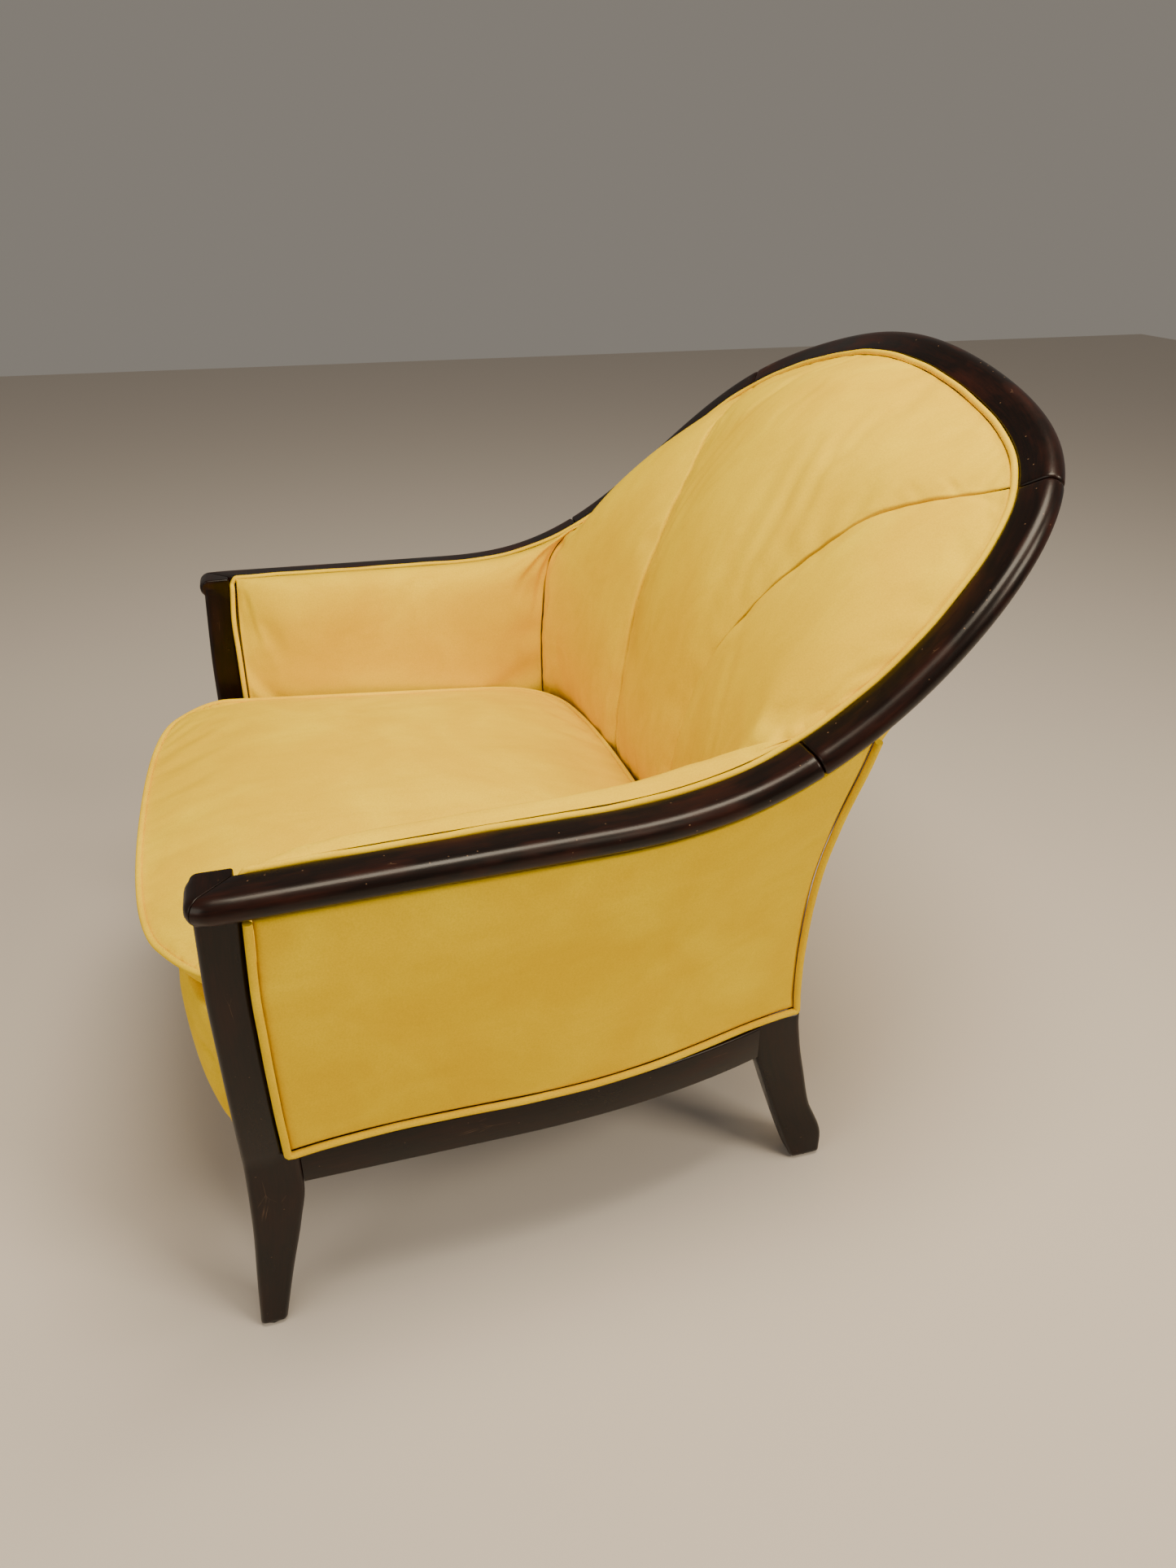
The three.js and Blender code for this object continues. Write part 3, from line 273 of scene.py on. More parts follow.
def gridNormals(grid):
    along = np.gradient(grid, axis=0)
    upward = np.gradient(grid, axis=1)
    return unit(np.cross(along, upward))


def hump(s, power=0.75):
    return np.sin(math.pi * np.clip(s, 0, 1)) ** power


# Materials.

def linear(hexColour):
    channels = [int(hexColour[i:i + 2], 16) / 255 for i in (1, 3, 5)]
    return tuple(c / 12.92 if c <= 0.04045 else ((c + 0.055) / 1.055) ** 2.4 for c in channels) + (1.0,)


def addNode(tree, kind, inputs=None, **settings):
    made = tree.nodes.new(kind)
    for key, value in settings.items():
        setattr(made, key, value)
    for key, value in (inputs or {}).items():
        if isinstance(value, bpy.types.NodeSocket):
            tree.links.new(value, made.inputs[key])
        else:
            made.inputs[key].default_value = value
    return made


def newMaterial(name):
    material = bpy.data.materials.new(name)
    material.use_nodes = True
    tree = material.node_tree
    tree.nodes.clear()
    shader = addNode(tree, "ShaderNodeBsdfPrincipled")
    addNode(tree, "ShaderNodeOutputMaterial", {"Surface": shader.outputs["BSDF"]})
    return material, tree, shader


def wire(tree, source, socket):
    tree.links.new(source, socket)


# Microfibre velvet, woven and brushed: a short dense pile, so the face is matt with a soft pale
# sheen at grazing angles and cloudy patches where the nap lies the other way.
def velvetCloth(name="microfibreVelvet", seamWear=0.0):
    material, tree, shader = newMaterial(name)
    look = {
        "nap": "#F4CA00", "brushed": "#FFDC08", "shade": "#DEB300", "soil": "#BC9000",
        "napPatchMm": 150, "strokeMm": 38, "pileMm": 1.5,
    }
    coords = addNode(tree, "ShaderNodeTexCoord").outputs["Object"]
    patches = addNode(tree, "ShaderNodeTexNoise", {
        "Vector": coords, "Scale": 1000 / look["napPatchMm"], "Detail": 3.0, "Roughness": 0.55,
        "Distortion": 0.9})
    strokes = addNode(tree, "ShaderNodeTexNoise", {
        "Vector": addNode(tree, "ShaderNodeMapping", {
            "Vector": coords, "Rotation": (0.3, 0.2, 0.6), "Scale": (1.0, 0.34, 0.55)}).outputs[0],
        "Scale": 1000 / look["strokeMm"], "Detail": 4.0, "Roughness": 0.6, "Distortion": 1.4})
    pile = addNode(tree, "ShaderNodeTexNoise", {
        "Vector": coords, "Scale": 1000 / look["pileMm"], "Detail": 2.0, "Roughness": 0.7})
    patchTone = addNode(tree, "ShaderNodeMapRange", {
        "Value": patches.outputs["Fac"], "From Min": 0.36, "From Max": 0.66, "To Min": 0.0, "To Max": 1.0})
    strokeTone = addNode(tree, "ShaderNodeMapRange", {
        "Value": strokes.outputs["Fac"], "From Min": 0.4, "From Max": 0.72, "To Min": 0.0, "To Max": 0.3})
    pileTone = addNode(tree, "ShaderNodeMapRange", {
        "Value": pile.outputs["Fac"], "From Min": 0.3, "From Max": 0.75, "To Min": 0.0, "To Max": 0.28})
    base = addNode(tree, "ShaderNodeMix", {
        "Factor": patchTone.outputs[0], "A": linear(look["nap"]),
        "B": linear(look["brushed"])}, data_type="RGBA")
    stroked = addNode(tree, "ShaderNodeMix", {
        "Factor": strokeTone.outputs[0], "A": base.outputs["Result"],
        "B": linear(look["shade"])}, data_type="RGBA")
    piled = addNode(tree, "ShaderNodeMix", {
        "Factor": pileTone.outputs[0], "A": stroked.outputs["Result"],
        "B": linear(look["soil"])}, data_type="RGBA")
    wire(tree, piled.outputs["Result"], shader.inputs["Base Color"])
    height = addNode(tree, "ShaderNodeMath", {
        0: pile.outputs["Fac"], 1: strokes.outputs["Fac"]}, operation="ADD")
    bump = addNode(tree, "ShaderNodeBump", {
        "Height": height.outputs[0], "Strength": 0.16, "Distance": 0.0012})
    wire(tree, bump.outputs[0], shader.inputs["Normal"])
    rough = addNode(tree, "ShaderNodeMapRange", {
        "Value": strokes.outputs["Fac"], "From Min": 0.3, "From Max": 0.7, "To Min": 0.74, "To Max": 0.92})
    wire(tree, rough.outputs[0], shader.inputs["Roughness"])
    shader.inputs["Sheen Weight"].default_value = 0.05
    shader.inputs["Sheen Roughness"].default_value = 0.38
    shader.inputs["Sheen Tint"].default_value = linear("#FFD24A")
    shader.inputs["Specular IOR Level"].default_value = 0.08
    return material


# Stained beech under a satin nitrocellulose lacquer, sprayed and rubbed: near black-brown with a
# fine straight grain along the length, redder in random patches that are partly wear and partly a painted
# reddish highlight, with hairline scuffs.
def lacqueredWood(name, wearAndHighlight):
    material, tree, shader = newMaterial(name)
    look = {
        "stain": "#080302", "figure": "#1A0904", "wornAndHighlight": "#46190A", "chip": "#8A6A50",
        "grainMm": 1.6, "figureMm": 14, "scuffMm": 34, "chipMm": 26,
    }
    coords = addNode(tree, "ShaderNodeUVMap", uv_map="grain").outputs["UV"]
    stretched = addNode(tree, "ShaderNodeMapping", {
        "Vector": coords, "Scale": (0.045, 1.0, 1.0)}).outputs[0]
    grain = addNode(tree, "ShaderNodeTexNoise", {
        "Vector": stretched, "Scale": 1000 / look["grainMm"], "Detail": 5.0, "Roughness": 0.6,
        "Distortion": 0.3})
    figure = addNode(tree, "ShaderNodeTexNoise", {
        "Vector": addNode(tree, "ShaderNodeMapping", {"Vector": coords,
        "Scale": (0.12, 1.0, 1.0)}).outputs[0],
        "Scale": 1000 / look["figureMm"], "Detail": 3.0, "Roughness": 0.5, "Distortion": 0.6})
    rubbedAndHighlight = addNode(tree, "ShaderNodeTexNoise", {
        "Vector": addNode(tree, "ShaderNodeMapping", {"Vector": coords,
        "Scale": (0.3, 1.0, 1.0)}).outputs[0],
        "Scale": 1000 / look["scuffMm"], "Detail": 4.0, "Roughness": 0.62})
    tone = addNode(tree, "ShaderNodeMapRange", {
        "Value": grain.outputs["Fac"], "From Min": 0.38, "From Max": 0.7, "To Min": 0.0, "To Max": 0.75})
    base = addNode(tree, "ShaderNodeMix", {
        "Factor": tone.outputs[0], "A": linear(look["stain"]),
        "B": linear(look["figure"])}, data_type="RGBA")
    # The reddish patches are partly real wear and partly a painted highlight: a lacquer highlight's reddish
    # colour put into the base colour at random places, strongest on the rails.
    wearAndHighlightTone = addNode(tree, "ShaderNodeMapRange", {
        "Value": rubbedAndHighlight.outputs["Fac"], "From Min": 0.46, "From Max": 0.72, "To Min": 0.0, "To Max": wearAndHighlight})
    wornHighlightTone = addNode(tree, "ShaderNodeMath", {
        0: wearAndHighlightTone.outputs[0], 1: figure.outputs["Fac"]}, operation="MULTIPLY")
    wornAndHighlight = addNode(tree, "ShaderNodeMix", {
        "Factor": wornHighlightTone.outputs[0], "A": base.outputs["Result"],
        "B": linear(look["wornAndHighlight"])}, data_type="RGBA")
    # Hairline scratches lie where two stretched cell patterns meet; most cells carry none.
    scratchCells = addNode(tree, "ShaderNodeTexVoronoi", {
        "Vector": addNode(tree, "ShaderNodeMapping", {
            "Vector": coords, "Rotation": (0, 0, 0.5), "Scale": (0.35, 1.6, 1.0)}).outputs[0],
        "Scale": 1000 / look["chipMm"]}, feature="DISTANCE_TO_EDGE")
    hairline = addNode(tree, "ShaderNodeMapRange", {
        "Value": scratchCells.outputs["Distance"], "From Min": 0.0, "From Max": 0.016,
        "To Min": 1.0, "To Max": 0.0})
    where = addNode(tree, "ShaderNodeMapRange", {
        "Value": rubbedAndHighlight.outputs["Fac"], "From Min": 0.6, "From Max": 0.68, "To Min": 0.0,
        "To Max": 0.75 * wearAndHighlight})
    scratch = addNode(tree, "ShaderNodeMath", {
        0: hairline.outputs[0], 1: where.outputs[0]}, operation="MULTIPLY")
    specks = addNode(tree, "ShaderNodeTexVoronoi", {
        "Vector": coords, "Scale": 1000 / 11, "Randomness": 1.0}, feature="F1")
    speck = addNode(tree, "ShaderNodeMapRange", {
        "Value": specks.outputs["Distance"], "From Min": 0.03, "From Max": 0.07,
        "To Min": 0.8 * wearAndHighlight, "To Max": 0.0})
    marks = addNode(tree, "ShaderNodeMath", {
        0: scratch.outputs[0], 1: speck.outputs[0]}, operation="MAXIMUM")
    marked = addNode(tree, "ShaderNodeMix", {
        "Factor": marks.outputs[0], "A": wornAndHighlight.outputs["Result"],
        "B": linear(look["chip"])}, data_type="RGBA")
    wire(tree, marked.outputs["Result"], shader.inputs["Base Color"])
    rough = addNode(tree, "ShaderNodeMapRange", {
        "Value": rubbedAndHighlight.outputs["Fac"], "From Min": 0.3, "From Max": 0.75, "To Min": 0.24, "To Max": 0.44})
    wire(tree, rough.outputs[0], shader.inputs["Roughness"])
    bump = addNode(tree, "ShaderNodeBump", {
        "Height": grain.outputs["Fac"], "Strength": 0.07, "Distance": 0.0006})
    wire(tree, bump.outputs[0], shader.inputs["Normal"])
    shader.inputs["Coat Weight"].default_value = 0.06
    shader.inputs["Coat Roughness"].default_value = 0.12
    shader.inputs["Specular IOR Level"].default_value = 0.24
    shader.inputs["IOR"].default_value = 1.5
    return material


# Raw sawn beech for the hidden frame: pale pink-tan, short dark flecks, dry and matt.
def rawBeech():
    material, tree, shader = newMaterial("rawBeech")
    look = {"pale": "#C79F6E", "late": "#A97C4D", "fleckMm": 2.4}
    coords = addNode(tree, "ShaderNodeTexCoord").outputs["Object"]
    grain = addNode(tree, "ShaderNodeTexNoise", {
        "Vector": addNode(tree, "ShaderNodeMapping", {"Vector": coords,
        "Scale": (0.08, 0.6, 1.0)}).outputs[0],
        "Scale": 1000 / look["fleckMm"], "Detail": 5.0, "Roughness": 0.62, "Distortion": 0.4})
    tone = addNode(tree, "ShaderNodeMapRange", {
        "Value": grain.outputs["Fac"], "From Min": 0.35, "From Max": 0.7, "To Min": 0.0, "To Max": 1.0})
    colour = addNode(tree, "ShaderNodeMix", {
        "Factor": tone.outputs[0], "A": linear(look["pale"]), "B": linear(look["late"])}, data_type="RGBA")
    wire(tree, colour.outputs["Result"], shader.inputs["Base Color"])
    bump = addNode(tree, "ShaderNodeBump", {
        "Height": grain.outputs["Fac"], "Strength": 0.2, "Distance": 0.0006})
    wire(tree, bump.outputs[0], shader.inputs["Normal"])
    shader.inputs["Roughness"].default_value = 0.78
    return material


# Bright zinc-plated steel for screws and staples: small, cool and a little uneven.
def zincSteel():
    material, tree, shader = newMaterial("zincPlatedSteel")
    coords = addNode(tree, "ShaderNodeTexCoord").outputs["Object"]
    spangle = addNode(tree, "ShaderNodeTexNoise", {"Vector": coords, "Scale": 1000 / 3, "Detail": 3.0})
    tone = addNode(tree, "ShaderNodeMix", {
        "Factor": spangle.outputs["Fac"], "A": linear("#8F9296"), "B": linear("#B9BCC0")}, data_type="RGBA")
    wire(tree, tone.outputs["Result"], shader.inputs["Base Color"])
    rough = addNode(tree, "ShaderNodeMapRange", {
        "Value": spangle.outputs["Fac"], "To Min": 0.28, "To Max": 0.5})
    wire(tree, rough.outputs[0], shader.inputs["Roughness"])
    shader.inputs["Metallic"].default_value = 1.0
    return material


# Moulded black nylon for the glides: waxy, scuffed dull by the floor.
def mouldedNylon():
    material, tree, shader = newMaterial("mouldedNylon")
    coords = addNode(tree, "ShaderNodeTexCoord").outputs["Object"]
    scuff = addNode(tree, "ShaderNodeTexNoise", {"Vector": coords, "Scale": 1000 / 2.2, "Detail": 4.0})
    tone = addNode(tree, "ShaderNodeMix", {
        "Factor": scuff.outputs["Fac"], "A": linear("#17171A"), "B": linear("#343335")}, data_type="RGBA")
    wire(tree, tone.outputs["Result"], shader.inputs["Base Color"])
    rough = addNode(tree, "ShaderNodeMapRange", {
        "Value": scuff.outputs["Fac"], "To Min": 0.4, "To Max": 0.65})
    wire(tree, rough.outputs[0], shader.inputs["Roughness"])
    shader.inputs["IOR"].default_value = 1.53
    return material


# Woven elastic upholstery webbing: 2 mm ribs across the strap, charcoal with a paler warp.
def wovenWebbing():
    material, tree, shader = newMaterial("wovenWebbing")
    coords = addNode(tree, "ShaderNodeUVMap", uv_map="grain").outputs["UV"]
    warp = addNode(tree, "ShaderNodeTexWave", {
        "Vector": coords, "Scale": 1000 / 4 / 3.14, "Distortion": 0.4},
                   wave_type="BANDS", bands_direction="X")
    weft = addNode(tree, "ShaderNodeTexWave", {
        "Vector": coords, "Scale": 1000 / 2.4 / 3.14, "Distortion": 0.4},
                   wave_type="BANDS", bands_direction="Y")
    weave = addNode(tree, "ShaderNodeMath", {
        0: warp.outputs["Fac"], 1: weft.outputs["Fac"]}, operation="MULTIPLY")
    tone = addNode(tree, "ShaderNodeMix", {
        "Factor": weave.outputs[0], "A": linear("#26231F"), "B": linear("#5E564A")}, data_type="RGBA")
    wire(tree, tone.outputs["Result"], shader.inputs["Base Color"])
    bump = addNode(tree, "ShaderNodeBump", {
        "Height": weave.outputs[0], "Strength": 0.5, "Distance": 0.0008})
    wire(tree, bump.outputs[0], shader.inputs["Normal"])
    shader.inputs["Roughness"].default_value = 0.9
    return material


# Black spun-bonded lining cloth: a dry felted sheet with a pressed diamond dot every 2.5 mm.
def liningCloth():
    material, tree, shader = newMaterial("spunBondedLining")
    coords = addNode(tree, "ShaderNodeTexCoord").outputs["Object"]
    dots = addNode(tree, "ShaderNodeTexVoronoi", {
        "Vector": addNode(tree, "ShaderNodeMapping", {"Vector": coords,
        "Rotation": (0, 0, 0.785)}).outputs[0],
        "Scale": 1000 / 2.5, "Randomness": 0.15}, feature="F1", distance="MANHATTAN")
    fibres = addNode(tree, "ShaderNodeTexNoise", {
        "Vector": coords, "Scale": 1000 / 1.4, "Detail": 4.0, "Distortion": 2.0})
    cloud = addNode(tree, "ShaderNodeMath", {
        0: dots.outputs["Distance"], 1: fibres.outputs["Fac"]}, operation="MULTIPLY")
    tone = addNode(tree, "ShaderNodeMix", {
        "Factor": cloud.outputs[0], "A": linear("#0F0F10"), "B": linear("#38373A")}, data_type="RGBA")
    wire(tree, tone.outputs["Result"], shader.inputs["Base Color"])
    bump = addNode(tree, "ShaderNodeBump", {
        "Height": cloud.outputs[0], "Strength": 0.4, "Distance": 0.0005})
    wire(tree, bump.outputs[0], shader.inputs["Normal"])
    shader.inputs["Roughness"].default_value = 0.95
    return material


velvet = velvetCloth()
showWood = lacqueredWood("lacqueredRailWood", 0.9)
legWood = lacqueredWood("lacqueredLegWood", 0.35)
beech = rawBeech()
zinc = zincSteel()
nylon = mouldedNylon()
webbing = wovenWebbing()
lining = liningCloth()
print("materials made")


# The horseshoe rail.

# [out, up] pairs: flat top and inside with eased arrises, half round outside.
def railSection(width):
    ease, thick = rail["easeInner"], rail["thick"]
    radius = thick / 2
    section = []
    for i in range(5):
        a = math.pi - math.pi / 2 * i / 4
        section.append((ease + ease * math.cos(a), -ease + ease * math.sin(a)))
    for s in (0.35, 0.7):
        section.append((mix(ease, width - radius, s), 0.0))
    for i in range(17):
        a = math.pi / 2 - math.pi * i / 16
        section.append((width - radius + radius * math.cos(a), -radius + radius * math.sin(a)))
    for s in (0.7, 0.35):
        section.append((mix(ease, width - radius, s), -thick))
    for i in range(5):
        a = -math.pi / 2 - math.pi / 2 * i / 4
        section.append((ease + ease * math.cos(a), -thick + ease + ease * math.sin(a)))
    section += [(0.0, -thick * 0.66), (0.0, -thick * 0.33)]
    return np.array(section)


# The section drawn in by inset, towards a spine along its middle.
def insetSection(section, inset):
    thick = rail["thick"]
    low, high = thick / 2, section[:, 0].max() - thick / 2
    spine = np.stack([np.clip(section[:, 0], low, high), np.full(len(section), -thick / 2)], -1)
    reach = section - spine
    size = np.linalg.norm(reach, axis=1, keepdims=True)
    return spine + reach * (1 - inset / np.maximum(size, 1e-6))


# Rounds a square plan corner; outward holds the two signs that point out of it.
def roundCorner(points, corner, outward, radius):
    points = np.array(points, float)
    centre = np.array(corner) - np.array(outward) * radius
    d = (points[..., :2] - centre) * np.array(outward)
    inside = (d[..., 0] > 0) & (d[..., 1] > 0)
    size = np.maximum(d[..., 0], d[..., 1])
    length = np.maximum(np.hypot(d[..., 0], d[..., 1]), 1e-9)
    fit = np.where(inside, size / length, 1.0)[..., None]
    points[..., :2] = np.where(inside[..., None], centre + d * fit * np.array(outward), points[..., :2])
    return points


mitreSum = rim["halfFront"] + rim["frontY"]
noseCorner = (rim["halfFront"] + rail["width"], rim["frontY"] - rail["width"])


# The place along the rim where each point of the section meets the mitre.
def mitrePlaces(section, gap):
    low = np.full(len(section), -0.08)
    high = np.full(len(section), 0.12)
    for _ in range(30):
        middle = (low + high) / 2
        at = rimOffset(middle, section[:, 0], section[:, 1])
        ahead = at[:, 0] + at[:, 1] - mitreSum < gap
        low, high = np.where(ahead, middle, low), np.where(ahead, high, middle)
    return (low + high) / 2


def railPiece(name, start, end, steps, mitred=False):
    length = 1000.0  # about the rim's length for one unit of place
    ease = rail["easeEnd"]
    rings = []
    gap = 0.35

    def ring(at, inset):
        section = insetSection(railSection(float(railWidth(np.mean(at)))), inset)
        at = np.broadcast_to(np.asarray(at, float), (len(section),))
        return rimOffset(at, section[:, 0], section[:, 1])

    easing = [(0.0, 1.0), (0.08, 0.62), (0.3, 0.29), (0.62, 0.08), (1.0, 0.0)]
    if mitred:
        first = railSection(rail["width"])
        small = rail["mitreEase"]
        for along, inset in easing:
            section = insetSection(first, inset * small)
            places = mitrePlaces(section, along * small * 1.4)
            rings.append(rimOffset(places, section[:, 0], section[:, 1]))
        base = mitrePlaces(first, small * 1.4)
        for s in np.linspace(0, 1, 9)[1:]:
            rings.append(ring(mix(base, 0.09, s), 0))
        start = 0.09
        begin = start
    else:
        for along, inset in easing:
            rings.append(ring(start + (gap + along * ease) / length, inset * ease))
        begin = start + (gap + ease) / length
    stop = end - (gap + ease) / length
    for i in range(1, steps):
        rings.append(ring(mix(begin, stop, i / steps), 0))
    for along, inset in reversed(easing):
        rings.append(ring(end - (gap + along * ease) / length, inset * ease))
    rings = np.array(rings)
    if mitred:
        rings = roundCorner(rings, noseCorner, (1, -1), rail["noseCorner"])
    return makePiece(name, *sweep(rings), material=showWood, sharp=50)


def finishPair(left, leftNode):
    right = mirroredPiece(left, left.name.replace("_left", "_right"))
    for piece, node in ((left, leftNode), (right, leftNode.replace("_left", "_right"))):
        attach(piece, "chair_frame")
        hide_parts(node)
    return left, right


armRail = railPiece("lacquered_arm_rail_left", 0, rail["armJoint"], 60, mitred=True)
finishPair(armRail, "arm_rail_left")
backRail = railPiece("lacquered_back_rail_left", rail["armJoint"], rail["crestJoint"], 44)
finishPair(backRail, "back_rail_left")
crest = railPiece("lacquered_crest_rail", rail["crestJoint"], 2 - rail["crestJoint"], 80)
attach(crest, "chair_frame")
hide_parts("crest_rail")
print("rails made")


# Posts and legs.

post = {
    "z": [4.4, 70, 130, 177, 217, 221, 400, 512],
    "outer": [338, 338, 338, 338, 339, 340, 364, 379],
    "front": [-311, -306, -301, -299, -298, -298, -297, -292],
    "back": [-286, -272, -258, -250, -250, -263, -263, -258],
    "width": [26, 28, 31, 32, 32, 32, 33, 34],
}
leg = {
    "z": [4.4, 24, 85, 125, 177, 217, 218, 245, 375, 430, 518, 620],
    "outer": [290, 290, 289, 289, 290, 291, 283, 284, 298, 312, 342, 366],
    "front": [268, 260, 239, 226, 211, 208, 226, 226, 226, 228, 234, 248],
    "back": [303, 303, 282, 273, 262, 257, 257, 254, 248, 249, 256, 272],
    "width": [28, 28, 29, 30, 30, 30, 21, 18, 17, 17, 17, 19],
}
legCorner = 5.0


# A smooth line through the stations that never overshoots them.
def through(heights, values, z):
    heights, values = np.asarray(heights, float), np.asarray(values, float)
    step, rise = np.diff(heights), np.diff(values)
    slope = rise / step
    tangent = np.zeros(len(values))
    for i in range(1, len(values) - 1):
        if slope[i - 1] * slope[i] > 0:
            tangent[i] = 2 * slope[i - 1] * slope[i] / (slope[i - 1] + slope[i])
    tangent[0], tangent[-1] = slope[0], slope[-1]
    z = np.clip(np.asarray(z, float), heights[0], heights[-1])
    i = np.clip(np.searchsorted(heights, z, side="right") - 1, 0, len(step) - 1)
    t = (z - heights[i]) / step[i]
    a = values[i] * (2 * t ** 3 - 3 * t ** 2 + 1) + values[i + 1] * (3 * t ** 2 - 2 * t ** 3)
    return a + step[i] * (tangent[i] * (t ** 3 - 2 * t ** 2 + t) + tangent[i + 1] * (t ** 3 - t ** 2))


# A level ring with rounded corners. z may differ from point to point.
def legRing(stations, z, inset=0.0, corner=legCorner):
    turns = []
    for k in range(4):
        for i in range(6):
            turns.append((k, math.pi / 2 * k + math.pi / 2 * i / 5))
    z = np.broadcast_to(np.asarray(z, float), (len(turns) + 4,))
    column = {key: through(stations["z"], stations[key], z) for key in ("outer", "front", "back", "width")}
    ring = []
    for n, (k, angle) in enumerate(turns):
        slot = n + k  # a middle point on each face follows its corner
        x0, x1 = column["outer"][slot] - column["width"][slot], column["outer"][slot]
        y0, y1 = column["front"][slot], column["back"][slot]
        cx = x1 - corner if k in (0, 3) else x0 + corner
        cy = y1 - corner if k in (0, 1) else y0 + corner
        reach = corner - inset
        ring.append((cx + reach * math.cos(angle), cy + reach * math.sin(angle), z[slot]))
        if n % 6 == 5:
            slot += 1
            x0, x1 = column["outer"][slot] - column["width"][slot], column["outer"][slot]
            y0, y1 = column["front"][slot], column["back"][slot]
            middle = {
                0: ((x0 + x1) / 2, y1 - inset), 1: (x0 + inset, (y0 + y1) / 2),
                2: ((x0 + x1) / 2, y0 + inset), 3: (x1 - inset, (y0 + y1) / 2),
            }[k]
            ring.append((*middle, z[slot]))
    return np.array(ring)


# Joins closed shells into one with a boolean, then shades it.
def unionPiece(name, parts, material):
    base = parts[0]
    for other in parts[1:]:
        join = base.modifiers.new("join", "BOOLEAN")
        join.operation = "UNION"
        join.solver = "EXACT"
        join.object = other
    mesh = bpy.data.meshes.new_from_object(base.evaluated_get(bpy.context.evaluated_depsgraph_get()))
    mesh.name = name
    finishShading(mesh, 38)
    mesh.materials.clear()
    mesh.materials.append(material)
    for part in parts:
        bpy.data.objects.remove(part)
    piece = bpy.data.objects.new(name, mesh)
    scene.collection.objects.link(piece)
    return piece


# The post's own piece of rail, which turns across the front of the arm to the mitre.
def noseReturn():
    section = railSection(rail["width"])
    ease = rail["mitreEase"]
    inner = rim["halfFront"] - rail["noseInset"]
    easing = [(0.0, 1.0), (0.08, 0.62), (0.3, 0.29), (0.62, 0.08), (1.0, 0.0)]
    rings = []

    def ring(x, shape):
        return np.stack([x, rim["frontY"] - shape[:, 0], rim["height"] + shape[:, 1]], -1)

    endEase = 2.2
    for along, inset in easing:
        shape = insetSection(section, inset * endEase)
        rings.append(ring(np.full(len(shape), inner + along * endEase), shape))
    start = inner + endEase
    end = rim["halfFront"] + section[:, 0] - rail["mitreGap"] - ease * 1.4
    for s in np.linspace(0, 1, 10)[1:-1]:
        rings.append(ring(mix(start, end, s), section))
    for along, inset in reversed(easing):
        shape = insetSection(section, inset * ease)
        x = rim["halfFront"] + shape[:, 0] - rail["mitreGap"] - along * ease * 1.4
        rings.append(ring(x, shape))
    rings = roundCorner(np.array(rings), noseCorner, (1, -1), rail["noseCorner"])
    rings = roundCorner(rings, (inner, noseCorner[1]), (-1, -1), rail["innerCorner"])
    return makePiece("nose", *sweep(rings), material=legWood)


def frontPost():
    heights = np.concatenate([[4.4, 4.9, 6.0], np.linspace(9, 512, 64)])
    insets = [1.6, 0.6, 0.0] + [0.0] * 64
    rings = [legRing(post, z, inset) for z, inset in zip(heights, insets)]
    shaft = makePiece("shaft", *sweep(np.array(rings)), material=legWood)
    return unionPiece("lacquered_front_post_left", [shaft, noseReturn()], legWood)


def heightUnderRail(points):
    places = np.linspace(0.42, 0.7, 281)
    here, along, up, _ = rimFrame(places)
    offset = points[:, None, :] - here[None]
    nearest = np.argmin(np.abs(np.sum(offset * along[None], -1)), axis=1)
    rows = np.arange(len(points))
    return np.sum(offset[rows, nearest] * up[nearest], -1)


def rearLeg():
    rings = []
    heights = np.concatenate([[4.4, 4.9, 6.0], np.linspace(9, 430, 56)])
    insets = [1.6, 0.6, 0.0] + [0.0] * 56
    for z, inset in zip(heights, insets):
        rings.append(legRing(leg, z, inset))
    count = len(rings[0])
    low, high = np.full(count, 430.0), np.full(count, 620.0)
    for _ in range(24):
        middle = (low + high) / 2
        under = heightUnderRail(legRing(leg, middle)) < -rail["thick"] - 0.8
        low, high = np.where(under, middle, low), np.where(under, high, middle)
    for s in np.linspace(0, 1, 20)[1:]:
        rings.append(legRing(leg, mix(430, low, s)))
    return makePiece("lacquered_rear_leg_left", *sweep(np.array(rings)), material=legWood)


finishPair(frontPost(), "front_post_left")
finishPair(rearLeg(), "rear_leg_left")


def seatRailOuter(y):
    bend = np.maximum((y - seat["bendY"]) / seat["bendDepth"], 0)
    return seat["half"] * (1 - bend ** seat["bendPower"]) ** (1 / seat["bendPower"])


def sideSeatRail():
    start, end, ease = -249.6, 207.6, 2.2
    top, bottom, thick = seat["railTop"], seat["railBottom"], seat["railThick"]
    section = []
    for cx, cz, first in ((0, top, 0), (-thick, top, 1), (-thick, bottom, 2), (0, bottom, 3)):
        sx, sz = (-1 if cx == 0 else 1), (-1 if cz == top else 1)
        for i in range(4):
            a = math.pi / 2 * (first + i / 3)
            section.append((cx + sx * ease + ease * math.cos(a), cz + sz * ease + ease * math.sin(a)))
    rings = []
    for y in np.linspace(start, end, 60):
        outer = float(seatRailOuter(y))
        rings.append([(outer + out, y, z) for out, z in section])
    return makePiece("lacquered_side_rail_left", *sweep(np.array(rings)), material=legWood)


finishPair(sideSeatRail(), "side_seat_rail_left")
print("posts, legs and seat rails made")


# The soft pieces' edges, shared by neighbours so that seams meet.

def deckTop(y):
    return seat["deck"] - seat["slope"] * (np.asarray(y, float) + 300)


def mirrorCurve(curve):
    return lambda s: curve(s) * np.array([-1, 1, 1])


pads = {
    "room": -6.7, "halfLow": 303, "start": 0.009, "overDeck": 2, "frontY": -257.5,
    "armSeamPlace": 0.494, "centreSeamPlace": 0.716, "edge": 1.2,
    "rollIn": 30, "rollUp": 12, "rollStart": 0.7, "plumpFrom": 0.25, "plumpTo": 0.8,
    "channelBulge": 23, "armThick": 15, "backThick": 45,
}


def padTop(at):
    return rimOffset(at, pads["room"], -1.5)


